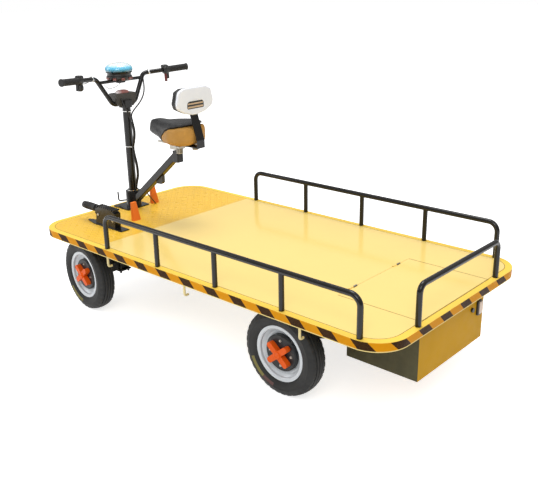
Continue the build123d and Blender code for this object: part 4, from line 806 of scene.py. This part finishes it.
def cover_over(piece, kind, node):
    """The piece subdivided and finished, standing for its node."""
    divide = piece.modifiers.new("divide", "SUBSURF")
    divide.levels = 1
    bake(piece)
    for polygon in piece.data.polygons:
        polygon.use_smooth = True
    piece.data.materials.clear()
    piece.data.materials.append(finish[kind])
    settle(piece, "chassis", (node,))


def swell(piece, cap):
    """Cloth pressure blows the piece up, each point by the cap at most."""
    before = [vertex.co.copy() for vertex in piece.data.vertices]
    cloth = piece.modifiers.new("cloth", "CLOTH")
    for key, value in cloth_settings.items():
        setattr(cloth.settings, key, value)
    cloth.settings.effector_weights.gravity = 0
    cloth.point_cache.frame_start = 1
    cloth.point_cache.frame_end = cloth_frames
    for number in range(1, cloth_frames + 1):
        scene.frame_set(number)
    bake(piece)
    scene.frame_set(1)
    for vertex, start in zip(piece.data.vertices, before):
        move = vertex.co - start
        if move.length > cap:
            vertex.co = start + move * (cap / move.length)


def blunt_nose(spot):
    """The saddle's nose comes down nearly upright."""
    if spot.x <= nose_start:
        return spot.copy()
    pushed = spot.x + 1.1 * (spot.x - nose_start) * max(0, nose_height - spot.z) / nose_drop
    return Vector((min(pushed, nose_limit), spot.y, spot.z))


def full_pad(spot):
    """The pad laps over the shell's front edge and is plump towards the rider."""
    return stretched(spot, Vector((pad_low.x, pad_middle.y, pad_middle.z)), (1.8, 1.09, 1.07), pad_lap)


# columns: node, finish, form, voxel, how far it is drawn in first, cap on the swelling
soft_goods = (
    ("saddle_skirt", "tan", blunt_nose, 0.005, 0.002, 0.0035),
    ("saddle_top", "cover", blunt_nose, 0.005, 0.002, 0.0035),
    ("backrest_pad", "cover", full_pad, 0.003, 0.001, 0.0025),
)
covers = {}
for node, kind, form, voxel, shrink, cap in soft_goods:
    piece = node_copy(node, node + "_cover", form)
    remeshed(piece, voxel, shrink=shrink)
    swell(piece, cap)
    cover_over(piece, kind, node)
    covers[node] = piece

shell = node_copy("backrest_shell", "backrest_shell_cover")
remeshed(shell, 0.003, flat_rounds=14)
cover_over(shell, "shell", "backrest_shell")

# Piping where the coverings meet. columns: x and z of the seam in side view
seam_line = ((0.549, 0.792), (0.549, 0.826), (0.541, 0.835), (0.511, 0.854), (0.475, 0.868), (0.405, 0.88),
             (0.38, 0.8815))
seam_steps = 8
beside = 0.3
saddle_trees = []
for node in ("saddle_skirt", "saddle_top"):
    mesh = covers[node].data
    saddle_trees.append(BVHTree.FromPolygons([vertex.co for vertex in mesh.vertices],
                                             [tuple(polygon.vertices) for polygon in mesh.polygons]))
piping = []
for side in (1, -1):
    found = []
    for (x0, z0), (x1, z1) in zip(seam_line, seam_line[1:]):
        for step in range(seam_steps):
            share = step / seam_steps
            start = Vector((x0 + share * (x1 - x0), side * beside, z0 + share * (z1 - z0)))
            hits = [saddle.ray_cast(start, Vector((0, -side, 0)), beside)[0] for saddle in saddle_trees]
            hits = [hit for hit in hits if hit is not None]
            if hits:
                found.append(max(hits, key=lambda hit: side * hit.y))
    for _ in range(4):
        between = [(a + b * 2 + c) / 4 for a, b, c in zip(found, found[1:], found[2:])]
        found = [found[0]] + between + [found[-1]]
    piping.append(tube(found, 0.0022, 10))
build("saddle_piping", piping, "piping", "chassis")

# Backrest: dark recess at the top with two pale bars across it
shell_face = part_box("backrest_shell")[0].x
bars = [block((shell_face + 0.0019, 0, (low_z + high_z) / 2), (0.003, 0.094, high_z - low_z - 0.002), 0.001)
        for low_z, high_z in ((0.964, 0.9735), (0.9795, 0.988))]
build("backrest_bars", bars, "beige", "chassis")
recess = block((shell_face + 0.0024, 0, 0.9765), (0.0026, 0.102, 0.036), 0.001)
build("backrest_recess", [recess], "moulded", "chassis")

# Seat springs: wire coils round the two posts, and the rib under the seat post
coil_x, coil_low, coil_rise, coil_radius = 0.451, 0.7535, 0.023, 0.0145
coil_turns, turn_steps = 4.5, 20
coil_steps = int(coil_turns * turn_steps)
coils = []
for coil_y in (0.05, -0.05):
    points = []
    for step in range(coil_steps + 1):
        angle = 2 * math.pi * step / turn_steps
        points.append((coil_x + coil_radius * math.cos(angle), coil_y + coil_radius * math.sin(angle),
                       coil_low + coil_rise * step / coil_steps))
    coils.append(tube(points, 0.002, 8))
build("saddle_spring_wire", coils, "zinc", "chassis")
rib_outline = ((0.64, 0.606), (0.686, 0.569), (0.684, 0.56), (0.65, 0.562), (0.64, 0.572))
build("seat_post_rib", [prism(rib_outline, -0.009, 0.009)], "case", "chassis", smooth=False)

# Grips: moulded ribs between two flanges. The bar runs from its end towards its top bend
grip_profile = [(0.011, 0), (0.0165, 0.0004), (0.018, 0.002), (0.018, 0.005), (0.0165, 0.0068)]
grip_pitch = 0.0042
along = 0.009
while along < 0.1:
    grip_profile += [(0.016, along), (0.0162, along + 0.0022), (0.0148, along + 0.0026),
                     (0.0148, along + 0.0036)]
    along += grip_pitch
grip_profile += [(0.016, 0.101), (0.0172, 0.1024), (0.0172, 0.107), (0.016, 0.1088), (0.0112, 0.1094)]
bar_ring_profile = [(0.0108, 0), (0.0142, 0.0006), (0.0148, 0.002), (0.0148, 0.006), (0.0142, 0.0074),
                    (0.0108, 0.008)]
bell_profile = [(0.006, 0.012), (0.011, 0.014), (0.0165, 0.022), (0.0175, 0.034), (0.015, 0.044),
                (0.009, 0.048)]
# columns: distance from the bar's end, forwards and upwards of the bar
lever_line = ((0.138, -0.006, -0.016), (0.16, -0.01, -0.019), (0.182, -0.008, -0.017), (0.2, -0.004, -0.012))


def bar_spot(bar, distance, out, height):
    """A place by the handlebar: distance from its end, forwards and upwards of it."""
    bar_end, inward, turned = bar
    return bar_end + inward * distance + turned.col[0] * out + turned.col[2] * height


for hand, side in (("left", 1), ("right", -1)):
    bar_end = Vector((0.853, side * 0.383, 1.08))
    inward = (Vector((0.923, side * 0.145, 1.066)) - bar_end).normalized()
    turned = inward.to_track_quat("Y", "Z").to_matrix()
    bar = (bar_end, inward, turned)
    grip = spin(grip_profile, bar_end - inward * 0.0002, inward, up_z, 36)
    build(hand + "_ribbed_grip", [grip], "rubber", "steering", ("grips",))
    ring = spin(bar_ring_profile, bar_spot(bar, 0.214, 0, 0), inward, up_z, 28, closed=True)
    build(hand + "_bar_ring", [ring], "polished", "steering")
    housing = [block(bar_spot(bar, 0.126, 0.002, 0.016), (0.03, 0.032, 0.018), 0.006, turned),
               block(bar_spot(bar, 0.126, 0, 0), (0.036, 0.024, 0.036), 0.009, turned)]
    if side > 0:
        housing.append(spin(bell_profile, bar_spot(bar, 0.128, 0, 0), -up_z, ahead, 24))
        lever = tube([bar_spot(bar, *spot) for spot in lever_line], [0.0032, 0.003, 0.0026, 0.0022], 10)
        build("left_lever", [lever], "polished", "steering")
    else:
        thumb = block(bar_spot(bar, 0.132, -0.016, -0.034), (0.007, 0.014, 0.046), 0.003, turned)
        build("right_thumb_lever", [thumb], "dark_red", "steering")
        housing.append(block(bar_spot(bar, 0.13, -0.012, -0.01), (0.018, 0.018, 0.02), 0.005, turned))
    build(hand + "_control_housing", housing, "moulded", "steering")

# Lamp: rounded lens, and pink patches round the foot that are painted reflections. The lens profile's heights
# are from the floor
lamp_x, lamp_low = 0.92727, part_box("lamp_base")[0].z
cell_reach, cell_rise, ring_rise = 0.06, 0.022, 0.03
dome_profile = [(0.06, 1.0868), (0.0655, 1.0895), (0.0678, 1.0945), (0.068, 1.0985), (0.0668, 1.105),
                (0.0636, 1.1118), (0.0578, 1.1182), (0.048, 1.124), (0.0345, 1.1281), (0.019, 1.1302),
                (0.006, 1.1308)]
foot_profile = [(0.06, 0), (0.0625, 0.0008), (0.063, 0.0025), (0.0625, 0.0042), (0.06, 0.005)]
lens = spin(dome_profile, (lamp_x, 0, 0), up_z, ahead, 64)
build("lamp_lens", [lens], "blue", "steering", ("lamp_dome",))
# pink patches round the foot: painted reflections on the lamp base
cells = []
for spoke in spokes(up_z, ahead, 9):
    turn = Matrix.Rotation(math.atan2(spoke.y, spoke.x), 3, "Z")
    spot = Vector((lamp_x, 0, lamp_low + cell_rise)) + spoke * cell_reach
    cells.append(block(spot, (0.008, 0.017, 0.012), 0.002, turn))
build("lamp_painted_reflections", cells, "pink", "steering")
foot_ring = spin(foot_profile, (lamp_x, 0, lamp_low + ring_rise), up_z, ahead, 48, closed=True)
build("lamp_foot_ring", [foot_ring], "moulded", "steering")

# Instrument box: a fuller case with eased edges, and its domed lens
case_low, case_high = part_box("instrument_box")
case_fixed = Vector(((case_low.x + case_high.x) / 2, 0, case_high.z))


def full_case(spot):
    return stretched(spot, case_fixed, (1.06, 1.16, 1.08))


case = node_copy("instrument_box", "instrument_case", full_case)
ease(case, 0.004, segments=3, angle=30)
bake(case)
settle(case, "steering", ("instrument_box",))

lens_low, lens_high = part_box("instrument_lens")
lens_size = lens_high - lens_low
lens_foot = Vector((lens_low.x + lens_size.x / 2, lens_low.y + lens_size.y / 2, lens_low.z))
lens_steps, lens_rows = 40, 8
lens_turns = [row / lens_rows * math.pi / 2 for row in range(lens_rows)]
lens_profile = [(math.cos(turn) ** 0.55, math.sin(turn)) for turn in lens_turns] + [(0.12, 1)]


def squarish(index, step, radius, along):
    """The lens is a rectangle with round corners."""
    angle = 2 * math.pi * step / lens_steps
    return radius * (abs(math.cos(angle)) ** 4 + abs(math.sin(angle)) ** 4) ** -0.25, along


dome_vertices, dome_faces = spin(lens_profile, (0, 0, 0), up_z, ahead, lens_steps, squarish)
lens_factors = (lens_size.x / 2, lens_size.y / 2, lens_size.z)
dome_vertices = [stretched(vertex, Vector(), lens_factors, lens_foot) for vertex in dome_vertices]
build("instrument_dome", [(dome_vertices, dome_faces)], "red", "steering", ("instrument_lens",))

# Cables. The two of the loom repeat the source's routes; a thin one runs from the left riser to the lamp
column_x, column_radius = 0.89, 0.0205
cable_radius, wire_radius, cable_gap = 0.0035, 0.0012, 0.0003
box_rear = 0.885
column_back = column_x - column_radius - cable_radius - cable_gap
down_column = ((-0.013, 0.843), (-0.025, 0.801), (-0.018, 0.755), (-0.001, 0.714), (-0.013, 0.668),
               (-0.026, 0.622), (-0.027, 0.572), (-0.009, 0.529), (-0.002, 0.499))
riser_cable = [(0.9045, -0.129, 1.04), (0.884, -0.118, 1), (0.872, -0.097, 0.962),
               (0.863, -0.063, 0.931), (0.861, -0.028, 0.907), (column_back + 0.001, -0.006, 0.879)]
riser_cable += [(column_back + x, -0.004, z) for x, z in down_column]
box_cable = [(box_rear - cable_radius - cable_gap, 0.033, 0.962), (0.87, 0.033, 0.932),
             (0.861, 0.02, 0.904), (column_back + 0.001, 0.006, 0.875)]
box_cable += [(column_back + x, 0.004, z) for x, z in down_column]
lamp_wire = [(0.915, 0.103, 1.036), (0.915, 0.09, 1.02), (0.915, 0.07, 1.011), (0.915, 0.045, 1.016),
             (0.915, 0.02, 1.022), (0.916, 0.004, 1.034)]
# columns: name, route, radius, length, CAD node
cables = (
    ("riser_cable", riser_cable, cable_radius, 0.606, ("cable_loom",)),
    ("box_cable", box_cable, cable_radius, 0.483, ("cable_loom",)),
    ("lamp_wire", lamp_wire, wire_radius, 0.112, ()),
)
for name, route, radius, length, replaced in cables:
    curve = bpy.data.curves.new(name, "CURVE")
    curve.dimensions = "3D"
    curve.bevel_depth = radius
    curve.bevel_resolution = 3
    curve.use_fill_caps = True
    curve.resolution_u = 10
    spline = curve.splines.new("NURBS")
    spline.points.add(len(route) - 1)
    for point, spot in zip(spline.points, route):
        point.co = (*spot, 1)
    spline.order_u = 3
    spline.use_endpoint_u = True
    curve.materials.append(finish["rubber"])
    piece = linked(name, curve)
    settle(piece, "steering", replaced)
    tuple(route[0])

# Bright ties round the column, and the collar at its foot
tie_steps = 72
tie_swell, tie_full, tie_fade = 0.0076, 14, 16
tie_profile = [(0.0207, 0), (0.0219, 0.0003), (0.0222, 0.0012), (0.0222, 0.0034), (0.0219, 0.0043),
               (0.0207, 0.0046)]
collar_profile = [(0.0272, 0), (0.028, 0.0004), (0.028, 0.0032), (0.0272, 0.0036)]


def tie_bulge(index, step, radius, along):
    """The tie goes round the column and swells over the cables at its back."""
    angle = abs((360 * step / tie_steps + 180) % 360 - 180)
    return radius + tie_swell * max(0, 1 - max(0, angle - tie_full) / tie_fade), along


ties = [spin(tie_profile, (column_x, 0, z), up_z, -ahead, tie_steps, tie_bulge, closed=True)
        for z in (0.895, 0.717)]
build("column_ties", ties, "polished", "steering")
collar = spin(collar_profile, (column_x, 0, 0.4902), up_z, ahead, 48, closed=True)
build("collar_band", [collar], "polished", "steering")

# Handbrake: teeth over the ratchet, bolt heads on both plates and rings on the grip
brake_y, plate_half = 0.285, 0.0165
tooth_pitch, ring_pitch = 0.0155, 0.009
brake_bolt_profile = [(0.008, 0), (0.008, 0.003), (0.006, 0.0045)]
brake_ring_profile = [(0.016, -0.0012), (0.0187, -0.0008), (0.019, 0), (0.0187, 0.0008), (0.016, 0.0012)]
teeth = [block((0.66 + tooth_pitch * k, brake_y, 0.4925), (0.0075, 0.0385, 0.008), 0.002) for k in range(9)]
build("handbrake_teeth", teeth, "tube", "chassis")
brake_bolts = [spin(brake_bolt_profile, (x, brake_y + side * plate_half, z), (0, side, 0), up_z, 6)
               for x, z in ((0.668, 0.44), (0.78, 0.452)) for side in (1, -1)]
build("handbrake_bolts", brake_bolts, "zinc", "chassis", smooth=False)
rings = [spin(brake_ring_profile, (0.845 + ring_pitch * k, brake_y, 0.475), ahead, up_z, 32, closed=True)
         for k in range(6)]
build("handbrake_grip_rings", rings, "rubber", "chassis")

# Charge socket: pale flap at its left, on the rear wall
flap = block((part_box("charge_socket")[0].x - 0.0012, -0.1995, 0.298), (0.004, 0.0225, 0.05), 0.0015)
build("socket_flap", [flap], "pale", "chassis")

# Stage: floor, world, lamps and camera
bpy.ops.mesh.primitive_plane_add(size=60, location=(0, 0, 0))
floor = bpy.context.object
floor.name = "stage_floor"
floor_material = new_material("stage_floor")
ground = Nodes(floor_material.node_tree)
shader = ground.tree.nodes["Principled BSDF"]
floor_glow = 0.72
for key, value in (("Base Color", (0.8, 0.8, 0.8)), ("Roughness", 0.9), ("Specular IOR Level", 0)):
    ground.put(shader.inputs[key], value)
path = ground.add("ShaderNodeLightPath").outputs
seen = ground.calc("ADD", path["Is Camera Ray"], path["Is Glossy Ray"], clamp=True)
seen = ground.calc("ADD", seen, path["Is Transmission Ray"], clamp=True)
strength = ground.calc("MULTIPLY", seen, floor_glow)
glow = ground.add("ShaderNodeEmission", {"Color": (1, 1, 1), "Strength": strength})
both = ground.add("ShaderNodeAddShader", {0: shader.outputs[0], 1: glow.outputs[0]})
ground.put(ground.tree.nodes["Material Output"].inputs["Surface"], both.outputs[0])
floor.data.materials.append(floor_material)

# The world is white to the camera, and dimmer near the horizon in what it lights
world = bpy.data.worlds.new("studio")
scene.world = world
world.use_nodes = True
sky = Nodes(world.node_tree)
background = sky.tree.nodes["Background"]
path = sky.add("ShaderNodeLightPath").outputs
seen = sky.calc("ADD", path["Is Camera Ray"], path["Is Transmission Ray"], clamp=True)
height = sky.split(sky.add("ShaderNodeTexCoord").outputs["Generated"])[2]
lit = sky.calc("MULTIPLY", sky.ramp(height, 0.3, 0.9, 0, 1), sky.calc("SUBTRACT", 1, seen))
sky.put(background.inputs["Strength"], sky.calc("ADD", lit, seen))
sky.put(background.inputs["Color"], (1, 1, 1))

# columns: name, place, aim, size, watts
lamps = (
    ("key", (-3.2, 4.6, 5.2), (0, 0, 0.4), 3.2, 152),
    ("top", (0.6, -0.6, 5.5), (0, 0, 0.4), 2.4, 132),
    ("front", (4.6, 2.8, 2.4), (0.3, 0, 0.5), 2.6, 50),
)
for name, spot, aim, size, watts in lamps:
    data = bpy.data.lights.new(name, "AREA")
    data.shape = "SQUARE"
    data.size = size
    data.energy = watts
    lamp = linked(name, data)
    lamp.location = spot
    lamp.rotation_euler = (Vector(aim) - Vector(spot)).to_track_quat("-Z", "Y").to_euler()

# Camera, solved from the photograph
yaw, pitch, roll = (math.radians(angle) for angle in (-47.772, 19.678, -1.041))
focal_pixels, photo_width, sensor_width = 757.117, 538, 36
camera_place = (-2.1677, 2.33111, 1.53577)
forward = Vector((math.cos(yaw) * math.cos(pitch), math.sin(yaw) * math.cos(pitch), -math.sin(pitch)))
right = forward.cross(up_z).normalized()
up = right.cross(forward)
rolled_right = math.cos(roll) * right + math.sin(roll) * up
rolled_up = -math.sin(roll) * right + math.cos(roll) * up
camera_data = bpy.data.cameras.new("photo_camera")
camera_data.sensor_width = sensor_width
camera_data.lens = focal_pixels / photo_width * sensor_width
camera = linked("photo_camera", camera_data)
turn = Matrix((rolled_right, rolled_up, -forward)).transposed()
camera.matrix_world = Matrix.Translation(camera_place) @ turn.to_4x4()
scene.camera = camera
scene.view_settings.view_transform = "Standard"
